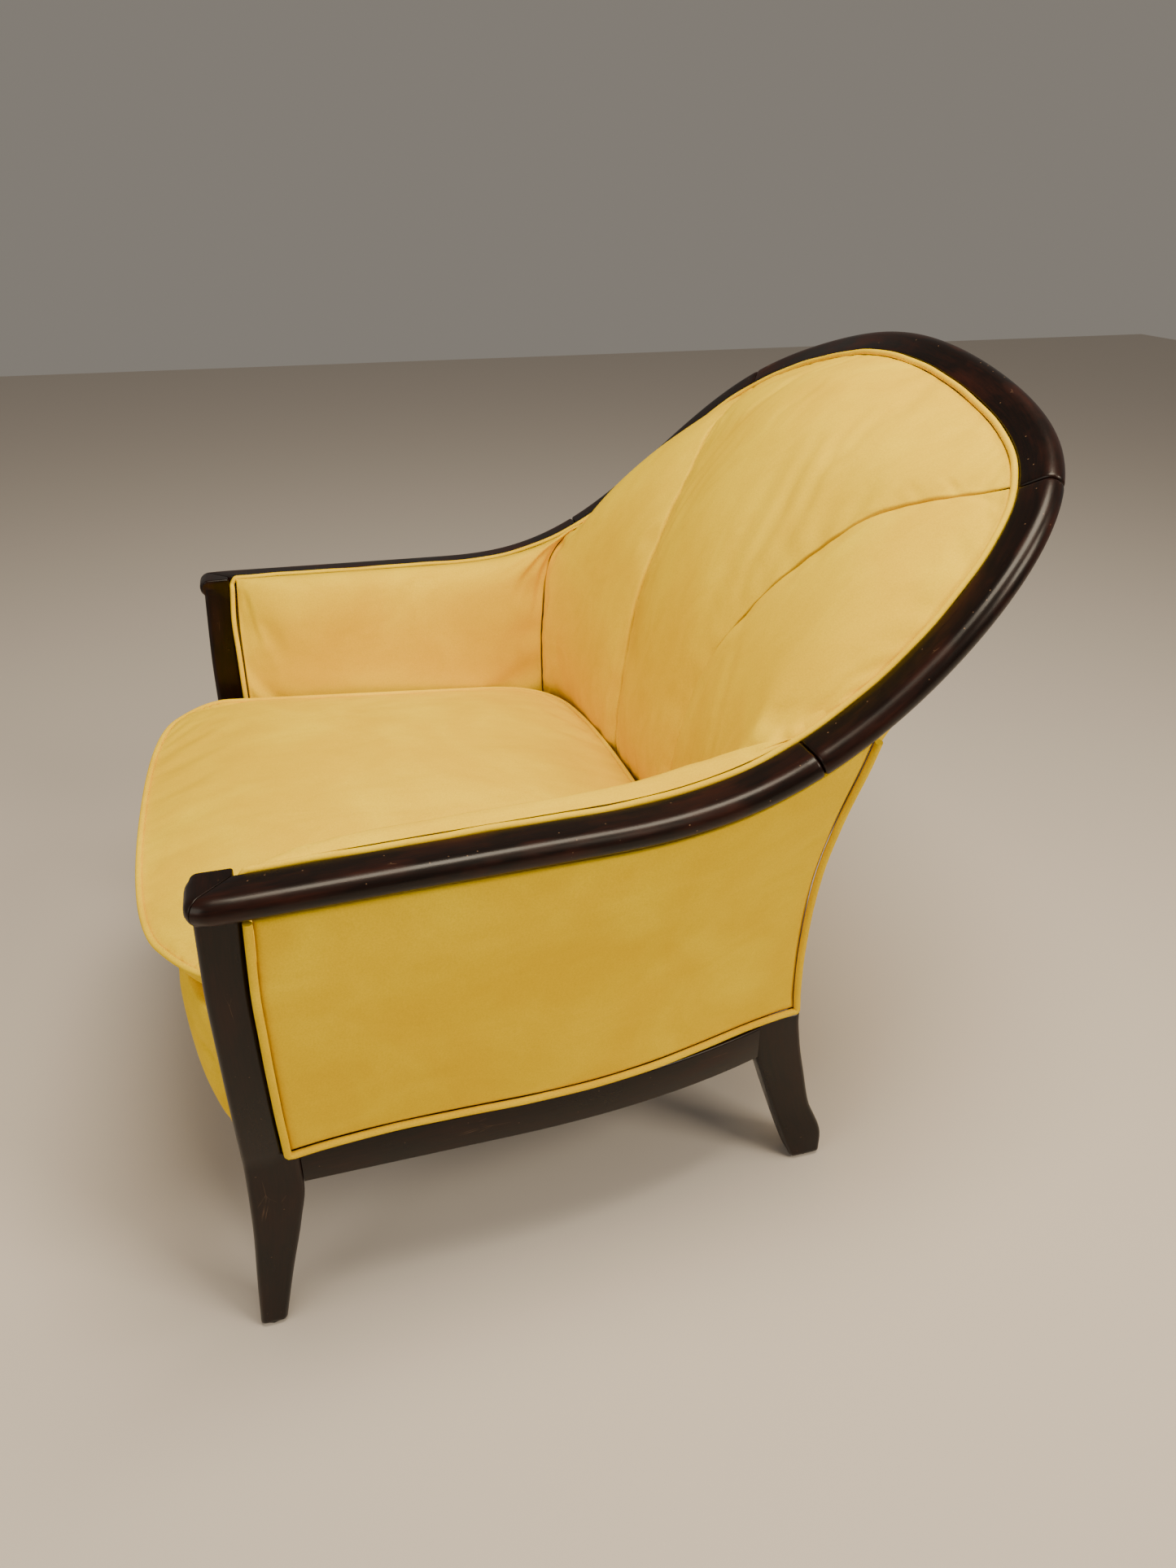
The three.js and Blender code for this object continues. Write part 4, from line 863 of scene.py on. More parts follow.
armSeam = splineThrough([(289, 134, 322), (291, 133, 368), (301, 137, 447), (320, 156, 529),
                         padTop(pads["armSeamPlace"])[0]])
centreSeam = splineThrough([(87, 175, 322), (90, 178, 400), (105, 202, 520), (130, 240, 600),
                            (165, 287, 665), (205, 332, 710), padTop(pads["centreSeamPlace"])[0]])


# A pad's face. Arms (no bulge given) stand upright and roll over into the rail at their top.
def padFace(edges, us, vs, bulge):
    flat = coonsGrid(*edges, us, vs)
    if bulge is None:
        ends = ((1 - np.abs(2 * us - 1) ** 6) ** 0.8)[:, None]
        over = np.clip((vs - pads["rollStart"]) / (1 - pads["rollStart"]), 0, 1)
        inward = pads["rollIn"] * smooth(pads["plumpFrom"], pads["plumpTo"], vs) * np.sqrt(1 - over ** 4)
        upward = pads["rollUp"] * np.abs(np.sin(math.pi * over ** 3)) ** 0.6
        flat[..., 0] -= inward[None, :] * ends
        flat[..., 2] += upward[None, :] * ends
        return flat
    crown = bulge * hump(us)[:, None] * hump(vs)[None, :]
    return flat - gridNormals(flat) * crown[..., None]


# Front and back grids of a pad. hold is the share of its bulge that it starts with.
def padGrids(edges, across, upward, bulge, thick, hold=1.0):
    us, vs = mix(0.002, 0.998, edgeSteps(across, 0.6)), mix(0.002, 0.999, edgeSteps(upward, 0.7))
    full = padFace(edges, us, vs, bulge)
    front = full if bulge is None else padFace(edges, us, vs, bulge * hold)
    depth = mix(mix(thick[0], thick[1], us)[:, None], pads["edge"], vs[None, :] ** 3)
    return front, full + gridNormals(full) * depth[..., None]


# Pinned points of a grid shell: the front's border rows and the whole back.
def borderIndex(nu, nv, rows=1):
    i, j = np.meshgrid(np.arange(nu), np.arange(nv), indexing="ij")
    edge = (i < rows) | (i >= nu - rows) | (j < rows) | (j >= nv - rows)
    front = np.flatnonzero(edge.ravel())
    return np.concatenate([front, np.arange(nu * nv, 2 * nu * nv)])


simulated = []


def willSwell(piece, pins, pressure, cap, slack, smoothness=0.5):
    simulated.append({"piece": piece, "pins": pins, "pressure": pressure, "cap": cap, "slack": slack,
                      "bending": smoothness})


# Blows every soft piece up against its pinned seams in one run of the cloth solver.
def swellAll(frames=20):
    for item in simulated:
        piece = item["piece"]
        group = piece.vertex_groups.new(name="seams")
        group.add([int(i) for i in item["pins"]], 1.0, "REPLACE")
        cloth = piece.modifiers.new("cloth", "CLOTH")
        s = cloth.settings
        s.quality = 6
        s.mass = 0.25
        s.tension_stiffness = 18
        s.compression_stiffness = 12
        s.shear_stiffness = 6
        s.bending_stiffness = item["bending"]
        s.use_pressure = True
        s.uniform_pressure_force = item["pressure"]
        s.effector_weights.gravity = 0
        s.vertex_group_mass = "seams"
        s.shrink_min = -item["slack"]
        cloth.collision_settings.use_collision = False
        cloth.point_cache.frame_start = 1
        cloth.point_cache.frame_end = frames
    for step in range(1, frames + 1):
        scene.frame_set(step)
    graph = bpy.context.evaluated_depsgraph_get()
    for item in simulated:
        piece = item["piece"]
        before = np.array([v.co for v in piece.data.vertices])
        shape = piece.evaluated_get(graph).data
        after = np.array([v.co for v in shape.vertices])
        move = after - before
        size = np.linalg.norm(move, axis=1, keepdims=True)
        cap = item["cap"] / 1000
        move *= np.where(size > cap, cap / np.maximum(size, 1e-9), 1)
        piece.modifiers.clear()
        piece.vertex_groups.clear()
        piece.data.vertices.foreach_set("co", (before + move).astype(np.float32).ravel())
        piece.data.update()
        print("  swelled", piece.name, "most", round(float(np.minimum(size, cap).max() * 1000), 1), "mm")
    scene.frame_set(1)


def densify(path, step=2.0):
    path = np.asarray(path, float)
    rows = [path[:1]]
    for a, b in zip(path[:-1], path[1:]):
        n = max(int(np.linalg.norm(b - a) / step), 1)
        rows.append(a + (b - a) * (np.arange(1, n + 1) / n)[:, None])
    return np.vstack(rows)


# Presses drag lines and gathers into a finished soft mesh: each has a path, a width and a depth.
def pressFolds(piece, folds):
    mesh = piece.data
    count = len(mesh.vertices)
    co = np.empty(count * 3, np.float32)
    mesh.vertices.foreach_get("co", co)
    co = co.reshape(-1, 3).astype(float)
    normal = np.array([v.normal for v in mesh.vertices])
    shift = np.zeros(count)
    for fold in folds:
        path = place(densify(fold["path"]))
        width = fold["width"] / 1000
        low, high = path.min(0) - 4 * width, path.max(0) + 4 * width
        near = np.flatnonzero(np.all((co > low) & (co < high), axis=1))
        if not len(near):
            continue
        gap = np.linalg.norm(co[near, None, :] - path[None], axis=2)
        closest = gap.argmin(1)
        d = gap[np.arange(len(near)), closest] / width
        s = closest / max(len(path) - 1, 1)
        ends = np.sin(math.pi * np.clip(mix(0.06, 0.94, s), 0, 1)) ** 0.7
        if fold.get("open") == "start":
            ends = np.cos(math.pi / 2 * s) ** 0.8
        shift[near] -= fold["depth"] / 1000 * ends * (1 - 0.55 * d ** 2) * np.exp(-d ** 2 / 1.6)
    co += normal * shift[:, None]
    mesh.vertices.foreach_set("co", co.astype(np.float32).ravel())
    mesh.update()


def subdivided(piece, levels=1):
    fine = piece.modifiers.new("fine", "SUBSURF")
    fine.levels = levels
    fine.render_levels = levels
    mesh = bpy.data.meshes.new_from_object(piece.evaluated_get(bpy.context.evaluated_depsgraph_get()))
    piece.modifiers.clear()
    mesh.name = piece.name
    piece.data = mesh
    mesh.shade_smooth()
    return piece


def softPiece(piece, nodesStoodFor, body):
    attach(piece, body)
    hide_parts(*nodesStoodFor)


# Inside arms and the three back channels.

def frontEdge():
    low = float(deckTop(rim["frontY"])) + pads["overDeck"]
    top = padTop(pads["start"])[0]
    return splineThrough([(pads["halfLow"], pads["frontY"], low), (313, pads["frontY"], 405),
                          (333.5, pads["frontY"], 470), top])


armFront = frontEdge()
armBottom = splineThrough([armFront([0])[0], (pads["halfLow"], -60, float(deckTop(-60)) + pads["overDeck"]),
                           armSeam([0])[0]])
channelBottom = splineThrough([armSeam([0])[0], (255, 160, 322), centreSeam([0])[0]])
centreBottom = splineThrough([centreSeam([0])[0], (0, 180, 322), centreSeam([0])[0] * np.array([-1, 1, 1])])


# The stretch of rim between two places, as a pad's top edge.
def topEdge(start, end):
    return lambda s: padTop(mix(start, end, np.asarray(s, float)))


armEdges = (armBottom, topEdge(pads["start"], pads["armSeamPlace"]), armFront, armSeam)
channelEdges = (channelBottom, topEdge(pads["armSeamPlace"], pads["centreSeamPlace"]), armSeam, centreSeam)
centreEdges = (centreBottom, topEdge(pads["centreSeamPlace"], 2 - pads["centreSeamPlace"]),
               centreSeam, mirrorCurve(centreSeam))


# A point on a pad's face at [across, up], for drawing folds.
def facePoint(edges, u, v, bulge):
    if bulge is None:
        return padFace(edges, np.array([u]), np.array([v]), None)[0, 0]
    flat = coonsGrid(*edges, np.array([u - 0.01, u, u + 0.01]), np.array([v - 0.01, v, v + 0.01]))
    return flat[1, 1] - gridNormals(flat)[1, 1] * bulge * float(hump(u)) * float(hump(v))


def padPiece(name, edges, counts, bulge, thick, swell, folds):
    hold = swell["hold"]
    front, back = padGrids(edges, *counts, bulge, thick, hold)
    piece = makePiece(name, *gridShell(front, back), material=velvet, sharp=0)
    willSwell(piece, borderIndex(*counts), swell["pressure"], swell["cap"], swell["slack"])
    return piece, [
        {**fold, "path": np.array([facePoint(edges, u, v, bulge) for u, v in fold["path"]])}
        for fold in folds]


softWork = []
armPad = padPiece("velvet_inside_arm_left", armEdges, (76, 34), None, (pads["armThick"],) * 2,
                  {"hold": 1.0, "pressure": 1.0, "cap": 2.5, "slack": 0.008},
                  [{"path": [(0.90, 0.93), (0.86, 0.86), (0.80, 0.80)], "width": 5, "depth": 2.0},
                   {"path": [(0.95, 0.90), (0.93, 0.80), (0.88, 0.72)], "width": 6, "depth": 2.2},
                   {"path": [(0.985, 0.86), (0.975, 0.7), (0.965, 0.55)], "width": 6, "depth": 2.0},
                   {"path": [(0.06, 0.2), (0.3, 0.14), (0.6, 0.16)], "width": 14, "depth": 1.2}])
sideChannel = padPiece("velvet_back_channel_left", channelEdges, (44, 62), pads["channelBulge"],
                       (pads["armThick"], pads["backThick"]),
                       {"hold": 0.84, "pressure": 3, "cap": 6, "slack": 0.012},
                       [{"path": [(0.03, 0.90), (0.12, 0.84), (0.24, 0.80)], "width": 6, "depth": 2.6},
                        {"path": [(0.03, 0.82), (0.1, 0.74), (0.2, 0.68)], "width": 6, "depth": 2.2},
                        {"path": [(0.03, 0.96), (0.16, 0.93), (0.3, 0.92)], "width": 5, "depth": 1.8},
                        {"path": [(0.96, 0.5), (0.8, 0.45), (0.6, 0.36)], "width": 9, "depth": 1.6}])
centreFolds = []
for side in (0, 1):
    for spots, width, depth in (
        ([(0.05, 0.56), (0.13, 0.66), (0.24, 0.78), (0.3, 0.86)], 8, 2.6),
        ([(0.09, 0.50), (0.18, 0.62), (0.30, 0.76)], 8, 2.4),
        ([(0.05, 0.47), (0.12, 0.52), (0.21, 0.63), (0.27, 0.7)], 6, 1.8),
        ([(0.15, 0.40), (0.24, 0.55), (0.36, 0.72)], 11, 1.7),
        ([(0.008, 0.93), (0.02, 0.925), (0.045, 0.91)], 3.5, 2.0),
        ([(0.008, 0.88), (0.02, 0.875), (0.05, 0.86)], 4, 1.6),
    ):
        shrunk = 1.0 if side == 0 else 0.75
        path = [(u if side == 0 else 1 - u * 0.96, v - 0.03 * side) for u, v in spots]
        centreFolds.append({"path": path, "width": width, "depth": depth * shrunk})
centreChannel = padPiece("velvet_back_channel_centre", centreEdges, (84, 74), pads["channelBulge"],
                         (pads["backThick"],) * 2,
                         {"hold": 0.84, "pressure": 3, "cap": 6.5, "slack": 0.012}, centreFolds)
softWork += [armPad, sideChannel, centreChannel]
print("inside pads made")


# The loose cushion: one crowned top panel over a narrow undercut boxing.

cushion = {
    "half": 292, "front": -371, "back": 170, "bow": 26, "corner": 62, "backCorner": 78, "backBow": 30,
    "box": 30, "crown": 44, "undercut": 12, "seam": 4.4, "cells": 78,
}


def bezier(a, b, c, count):
    t = np.linspace(0, 1, count)[:, None]
    return (1 - t) ** 2 * np.array(a) + 2 * t * (1 - t) * np.array(b) + t * t * np.array(c)


def cushionOutline():
    half, front, back = cushion["half"], cushion["front"], cushion["back"]
    r, rear, bow = cushion["corner"], cushion["backCorner"], cushion["backBow"]
    shoulder = front + cushion["bow"]
    parts = [
        bezier((0, front), (half - 1.6 * r, front), (half - r * 0.9, shoulder), 60),
        bezier((half - r * 0.9, shoulder), (half, shoulder + cushion["bow"] * 1.28),
               (half, shoulder + r), 40),
        np.linspace((half, shoulder + r), (half, back - rear - bow), 60),
        bezier((half, back - rear - bow), (half - 4, back - bow), (half - rear, back - bow / 2), 40),
        bezier((half - rear, back - bow / 2), (half - 1.8 * rear, back), (0, back), 60),
    ]
    left = np.vstack(parts)
    return np.vstack([left, left[::-1] * np.array([-1, 1])])


cushionMiddle = (cushion["front"] + cushion["back"]) / 2
outlineXY = cushionOutline() - np.array([0, cushionMiddle])
outlineAngle = np.arctan2(outlineXY[:, 1], outlineXY[:, 0])
order = np.argsort(outlineAngle)
outlineAngle, outlineReach = outlineAngle[order], np.hypot(*outlineXY.T)[order]


def reachAt(angle):
    return np.interp(angle, outlineAngle, outlineReach, period=2 * math.pi)


def cushionBase(y):
    return deckTop(y) + 2.4


# a, b: a square cell map from -1 to 1, stretched onto the outline.
def cushionPoint(a, b, height, scale):
    a, b = np.asarray(a, float), np.asarray(b, float)
    m = np.maximum(np.abs(a), np.abs(b))
    angle = np.arctan2(b * 270, a * 292)
    reach = reachAt(angle) * m * scale
    x = reach * np.cos(angle)
    y = cushionMiddle + reach * np.sin(angle)
    return np.stack([x, y, cushionBase(y) + height], -1), m


def cushionPiece(hold):
    n = cushion["cells"]
    steps = np.sin(np.linspace(-1, 1, n + 1) * math.pi / 2 * 0.86) / math.sin(math.pi / 2 * 0.86)
    a, b = np.meshgrid(steps, steps, indexing="ij")
    seamScale = 1 - cushion["seam"] / cushion["half"]
    top, m = cushionPoint(a, b, 0, seamScale)
    inset = cushion["half"] * (1 - m)
    rise = np.sin(math.pi / 2 * np.minimum(inset / 220, 1)) ** 0.9 * cushion["crown"] * hold
    top[..., 2] += cushion["box"] + rise
    bottom, _ = cushionPoint(a, b, 0, seamScale - cushion["undercut"] / cushion["half"])
    points = [top.reshape(-1, 3), bottom.reshape(-1, 3)]
    size = (n + 1) ** 2
    faces, uvs = [], []

    def index(i, j, layer):
        return layer * size + i * (n + 1) + j

    plan = np.concatenate([top.reshape(-1, 3)[:, :2], bottom.reshape(-1, 3)[:, :2]]) / 1000
    for i in range(n):
        for j in range(n):
            for layer in (0, 1):
                spots = ((i, j), (i + 1, j), (i + 1, j + 1), (i, j + 1))
                face = [index(a, b, layer) for a, b in spots]
                if layer:
                    face.reverse()
                faces.append(tuple(face))
                uvs += [tuple(plan[k]) for k in face]
    border = [(i, 0) for i in range(n)] + [(n, j) for j in range(n)]
    border += [(i, n) for i in range(n, 0, -1)] + [(0, j) for j in range(n, 0, -1)]
    bands = [0.8, 0.6, 0.4, 0.2]
    start = 2 * size
    for k, band in enumerate(bands):
        scale = seamScale - cushion["undercut"] / cushion["half"] * (1 - band) ** 1.4
        ai = np.array([steps[i] for i, _ in border])
        bi = np.array([steps[j] for _, j in border])
        ring, _ = cushionPoint(ai, bi, cushion["box"] * band, scale)
        points.append(ring)
    count = len(border)
    rows = [[index(i, j, 0) for i, j in border]]
    rows += [[start + k * count + c for c in range(count)] for k in range(len(bands))]
    rows += [[index(i, j, 1) for i, j in border]]
    for upper, lower in zip(rows[:-1], rows[1:]):
        for c in range(count):
            d = (c + 1) % count
            faces.append((upper[c], lower[c], lower[d], upper[d]))
            uvs += [(c * 0.007, 0), (c * 0.007, 0.006), ((c + 1) * 0.007, 0.006), ((c + 1) * 0.007, 0)]
    piece = makePiece("velvet_seat_cushion", np.vstack(points), faces, uvs, material=velvet, sharp=0)
    inner = np.zeros(len(piece.data.vertices), bool)
    inner[:size] = (m < 0.999).ravel()
    return piece, np.flatnonzero(~inner)


seatCushion, cushionPins = cushionPiece(0.78)
willSwell(seatCushion, cushionPins, 3, 13, 0.012, 1.5)


# A point of the cushion's top panel in plan, with its crown.
def cushionTop(x, y):
    y0 = y - cushionMiddle
    angle = math.atan2(y0, x)
    m = min(math.hypot(x, y0) / float(reachAt(angle)), 1)
    rise = math.sin(math.pi / 2 * min(cushion["half"] * (1 - m) / 220, 1)) ** 0.9 * cushion["crown"]
    return (x, y, float(cushionBase(y)) + cushion["box"] + rise)


cushionFolds = []
for side in (1, -1):
    for x0, y0, x1, y1, width, depth in (
        (284, -312, 262, -296, 3.6, 4.2), (277, -320, 256, -304, 3.2, 3.4), (288, -300, 270, -288, 3.6, 2.6),
        (266, -330, 246, -318, 3.4, 2.0), (246, -341, 232, -326, 4.0, 1.2),
    ):
        path = [cushionTop(side * mix(x0, x1, s), mix(y0, y1, s)) for s in (0, 0.5, 1)]
        weight = 1 if side > 0 else 0.6
        cushionFolds.append({"path": path, "width": width, "depth": depth * weight, "open": "start"})
for path, width, depth in (
    ([(-180, -120), (-60, -150), (70, -140), (150, -90)], 26, 1.3),
    ([(-120, 20), (-10, -20), (110, -10)], 30, 1.4),
    ([(-230, -60), (-190, 40), (-140, 100)], 22, 1.0),
    ([(60, 60), (150, 40), (220, 70)], 18, 1.2),
):
    cushionFolds.append({"path": [cushionTop(*p) for p in path], "width": width, "depth": depth})
softWork.append((seatCushion, cushionFolds))
print("cushion made")


# The front apron.

apron = {
    "half": 302.6, "back": -296.6, "depth": -38.6,
    "z": [177, 185, 200, 220, 250, 290, 320, 342, 351],
    "bow": [0.05, 0.15, 0.4, 0.72, 0.97, 1.0, 1.0, 0.97, 0.86],
}


def apronPiece():
    across, upward = edgeSteps(81, 0.4), edgeSteps(34, 0.5)
    z = mix(apron["z"][0], apron["z"][-1], upward)
    bow = through(apron["z"], apron["bow"], z)
    x = mix(-apron["half"], apron["half"], across)
    s = np.abs(x / apron["half"])
    reach = bow[None, :] * (1 - s[:, None] ** 5) + 0.06
    front = np.stack([np.broadcast_to(x[:, None], reach.shape), apron["back"] + apron["depth"] * reach,
                      np.broadcast_to(z[None, :], reach.shape)], -1)
    back = front.copy()
    back[..., 1] = apron["back"]
    return makePiece("velvet_front_apron", *gridShell(front, back), material=velvet, sharp=0)


frontApron = apronPiece()
willSwell(frontApron, borderIndex(81, 34, 2), 2.0, 5, 0.01)
apronFolds = []
for side in (1, -1):
    for x0, z0, x1, z1, width, depth in (
        (284, 296, 262, 302, 4, 2.6), (286, 276, 270, 270, 4, 1.8), (288, 330, 262, 322, 7, 1.6),
        (282, 214, 240, 204, 8, 1.4),
    ):
        def onApron(x, z):
            share = abs(x / apron["half"])
            reach = float(through(apron["z"], apron["bow"], z)) * (1 - share ** 5) + 0.06
            return (side * x, apron["back"] + apron["depth"] * reach, z)
        apronFolds.append({"path": [onApron(mix(x0, x1, s), mix(z0, z1, s)) for s in (0, 0.5, 1)],
                           "width": width, "depth": depth})
softWork.append((frontApron, apronFolds))


# Outside panels.

panel = {
    "underRail": 23, "below": 5, "thick": 4, "bulge": 4, "start": 0.012, "stile": 0.556, "short": 0.026,
    "overStile": 6,
}


def panelTop(at):
    return rimOffset(at, panel["underRail"], -rail["thick"] - panel["below"])


def sideEdges():
    low = seat["railTop"] + welt["room"]
    endPlace = panel["stile"] - panel["short"]
    topFront, topRear = panelTop(panel["start"])[0], panelTop(endPlace)[0]

    def front(v):
        v = np.atleast_1d(np.asarray(v, float))
        z = mix(low, topFront[2], v)
        outer = through(post["z"], post["outer"], z)
        back = through(post["z"], post["back"], z) + welt["room"]
        return np.stack([mix(outer, topFront[0], v), back, z], -1)

    def rear(v):
        v = np.atleast_1d(np.asarray(v, float))
        z = mix(low, topRear[2], v)
        edge = np.stack([through(leg["z"], leg["outer"], z) + panel["overStile"],
                         through(leg["z"], leg["back"], z) - welt["room"], z], -1)
        return edge + (topRear - edge) * (v ** 3)[:, None]

    f0, r0, shift = front(0)[0], rear(0)[0], front(1)[0] - topFront

    def bottom(p):
        p = np.atleast_1d(np.asarray(p, float))
        y = mix(f0[1], r0[1], p)
        x = mix(mix(f0[0], r0[0], p), seatRailOuter(y), 4 * p * (1 - p))
        return np.stack([x, y, np.full_like(y, low)], -1)

    def top(p):
        p = np.atleast_1d(np.asarray(p, float))
        return panelTop(mix(panel["start"], endPlace, p)) + shift * ((1 - p) ** 8)[:, None]

    return bottom, top, front, rear


def panelGrids(edges, across, upward, bulge, thick):
    us, vs = edgeSteps(across, 0.55), edgeSteps(upward, 0.55)
    flat = coonsGrid(*edges, us, vs)
    normals = gridNormals(flat)
    crown = bulge * hump(us)[:, None] * hump(vs)[None, :]
    lengthU = np.linalg.norm(flat[-1, upward // 2] - flat[0, upward // 2])
    lengthV = np.linalg.norm(flat[across // 2, -1] - flat[across // 2, 0])
    near = np.minimum(np.minimum(us, 1 - us)[:, None] * lengthU, np.minimum(vs, 1 - vs)[None, :] * lengthV)
    roll = 1.6 * (1 - smooth(0, 5, near))
    face = flat + normals * (crown - roll)[..., None]
    inside = flat + normals * (crown - thick)[..., None]
    return face, inside


outsideEdges = sideEdges()
outsideArm = makePiece("velvet_outside_arm_left",
                       *gridShell(*panelGrids(outsideEdges, 90, 52, panel["bulge"], panel["thick"])),
                       material=velvet, sharp=0)


def backEdges():
    start = panel["stile"] + 0.02

    def top(p):
        spot = mix(start, 2 - start, np.atleast_1d(np.asarray(p, float)))
        return rimOffset(spot, 12, -rail["thick"] - panel["below"])

    corner = top(0)[0]

    def edge(v):
        v = np.atleast_1d(np.asarray(v, float))
        z = mix(seat["railBottom"], corner[2], v)
        x = through(leg["z"], leg["outer"], z) - through(leg["z"], leg["width"], z) - 2
        side = np.stack([x, through(leg["z"], leg["back"], z) - 2, z], -1)
        return side + (corner - side) * (v ** 4)[:, None]

    low = edge(0)[0]
    bottom = splineThrough([low, (0, low[1] + 34, low[2]), low * np.array([-1, 1, 1])])
    return bottom, top, edge, mirrorCurve(edge)


outsideBackEdges = backEdges()
outsideBack = makePiece("velvet_outside_back",
                        *gridShell(*panelGrids(outsideBackEdges, 110, 84, panel["bulge"], panel["thick"])),
                        material=velvet, sharp=0)
print("outside panels made")


# The sprung seat platform: velvet lip in front, lining cloth behind.

def deckPiece():
    half, front = 297, -294
    left = [(half, front), (half, -40), (half - 12, 120), (half - 46, 205), (half - 120, 226)]
    outline = np.array(left + [(-x, y) for x, y in reversed(left)], float)
    outline = densify(np.vstack([outline, outline[:1]]), 9)[:-1]
    centre = outline.mean(0)
    rows = []
    underside = -seat["deckThick"]
    for inset, height in (
        (34, underside), (6, underside + 1), (1, underside + 8), (0, underside + 30),
        (0, -20), (1.5, -7), (6, -1.8), (14, -0.4),
    ):
        toward = unit(centre - outline)
        ring = outline + toward * inset
        rows.append(np.column_stack([ring, deckTop(ring[:, 1]) + height]))
    for share in (0.85, 0.7, 0.55, 0.4, 0.25, 0.1):
        ring = centre + (outline - centre) * share
        rows.append(np.column_stack([ring, deckTop(ring[:, 1]) - 0.4]))
    rings = np.array(rows)
    points, faces, uvs = sweep(rings)
    piece = makePiece("sprung_seat_deck", points, faces, uvs, material=lining, sharp=35)
    piece.data.materials.append(velvet)
    for face in piece.data.polygons:
        if face.center.y * 1000 - shiftY < -205:
            face.material_index = 1
    return piece


deck = deckPiece()
softPiece(deck, ["seat_deck"], "chair_frame")


# Simulate, refine, fold, and hand the soft pieces over.

swellAll()
print("soft pieces swelled")
for piece, folds in softWork:
    subdivided(piece)
    pressFolds(piece, folds)

armRight = mirroredPiece(armPad[0], "velvet_inside_arm_right")
channelRight = mirroredPiece(sideChannel[0], "velvet_back_channel_right")
outsideArmRight = mirroredPiece(outsideArm, "velvet_outside_arm_right")
softPiece(armPad[0], ["inside_arm_pad_left"], "chair_frame")
softPiece(armRight, ["inside_arm_pad_right"], "chair_frame")
softPiece(sideChannel[0], ["back_side_channel_left"], "chair_frame")
softPiece(channelRight, ["back_side_channel_right"], "chair_frame")
softPiece(centreChannel[0], ["back_centre_channel"], "chair_frame")
softPiece(frontApron, ["front_apron"], "chair_frame")
softPiece(outsideArm, ["outside_arm_panel_left"], "chair_frame")
softPiece(outsideArmRight, ["outside_arm_panel_right"], "chair_frame")
softPiece(outsideBack, ["outside_back_panel"], "chair_frame")
softPiece(seatCushion, ["seat_cushion"], "loose_cushion")
print("soft pieces placed")


# Welts, by a small node tree that wraps a round cord along a path.

def socketOf(tree, name):
    return next(i.identifier for i in tree.interface.items_tree if i.name == name and i.in_out == "INPUT")


def weltTree():
    tree = bpy.data.node_groups.new("weltCord", "GeometryNodeTree")
    tree.interface.new_socket("Geometry", in_out="INPUT", socket_type="NodeSocketGeometry")
    tree.interface.new_socket("Cord Radius", in_out="INPUT", socket_type="NodeSocketFloat")
    tree.interface.new_socket("Cord Sides", in_out="INPUT", socket_type="NodeSocketInt")
    tree.interface.new_socket("Cover", in_out="INPUT", socket_type="NodeSocketMaterial")
    tree.interface.new_socket("Geometry", in_out="OUTPUT", socket_type="NodeSocketGeometry")
    given = addNode(tree, "NodeGroupInput")
    profile = addNode(tree, "GeometryNodeCurvePrimitiveCircle", {
        "Radius": given.outputs["Cord Radius"], "Resolution": given.outputs["Cord Sides"]})
    cord = addNode(tree, "GeometryNodeCurveToMesh", {
        "Curve": given.outputs["Geometry"], "Profile Curve": profile.outputs["Curve"], "Fill Caps": True})
    shaded = addNode(tree, "GeometryNodeSetShadeSmooth", {"Geometry": cord.outputs["Mesh"]})
    real = addNode(tree, "GeometryNodeRealizeInstances", {"Geometry": shaded.outputs["Geometry"]})
    covered = addNode(tree, "GeometryNodeSetMaterial", {
        "Geometry": real.outputs["Geometry"], "Material": given.outputs["Cover"]})
    addNode(tree, "NodeGroupOutput", {"Geometry": covered.outputs["Geometry"]})
    return tree


def pathObject(name, points, closed=False):
    curve = bpy.data.curves.new(name, "CURVE")
    curve.dimensions = "3D"
    line = curve.splines.new("POLY")
    line.points.add(len(points) - 1)
    for spot, at in zip(line.points, place(points)):
        spot.co = (*at, 1)
    line.use_cyclic_u = closed
    made = bpy.data.objects.new(name, curve)
    scene.collection.objects.link(made)
    return made


# Runs a node tree on source and keeps its result as a plain mesh piece.
def grown(name, source, tree, values):
    modifier = source.modifiers.new(tree.name, "NODES")
    modifier.node_group = tree
    for key, value in values.items():
        modifier[socketOf(tree, key)] = value
    mesh = bpy.data.meshes.new_from_object(source.evaluated_get(bpy.context.evaluated_depsgraph_get()))
    mesh.name = name
    piece = bpy.data.objects.new(name, mesh)
    scene.collection.objects.link(piece)
    bpy.data.objects.remove(source)
    bm = bmesh.new()
    bm.from_mesh(mesh)
    bmesh.ops.remove_doubles(bm, verts=bm.verts, dist=1e-6)
    bmesh.ops.recalc_face_normals(bm, faces=bm.faces)
    bm.to_mesh(mesh)
    bm.free()
    return piece


cordTree = weltTree()
cordSizes = {"Cord Radius": welt["radius"] / 1000, "Cord Sides": welt["sides"], "Cover": velvet}


def weltPiece(name, points, closed=False, radius=welt["radius"]):
    sizes = {**cordSizes, "Cord Radius": radius / 1000}
    piece = grown(name, pathObject(name + "_path", points, closed), cordTree, sizes)
    finishShading(piece.data, 50)
    return piece


# A hand-sewn cord never runs dead straight: a slow wander of size millimetres.
def wander(points, size, scale, seed):
    points = np.array(points, float)
    t = np.concatenate([[0], np.cumsum(np.linalg.norm(np.diff(points, axis=0), axis=1))]) / scale
    for axis in range(3):
        points[:, axis] += size * (np.sin(t + seed + axis * 2.1) + 0.6 * np.sin(2.3 * t + seed * 1.7 + axis))
    return points


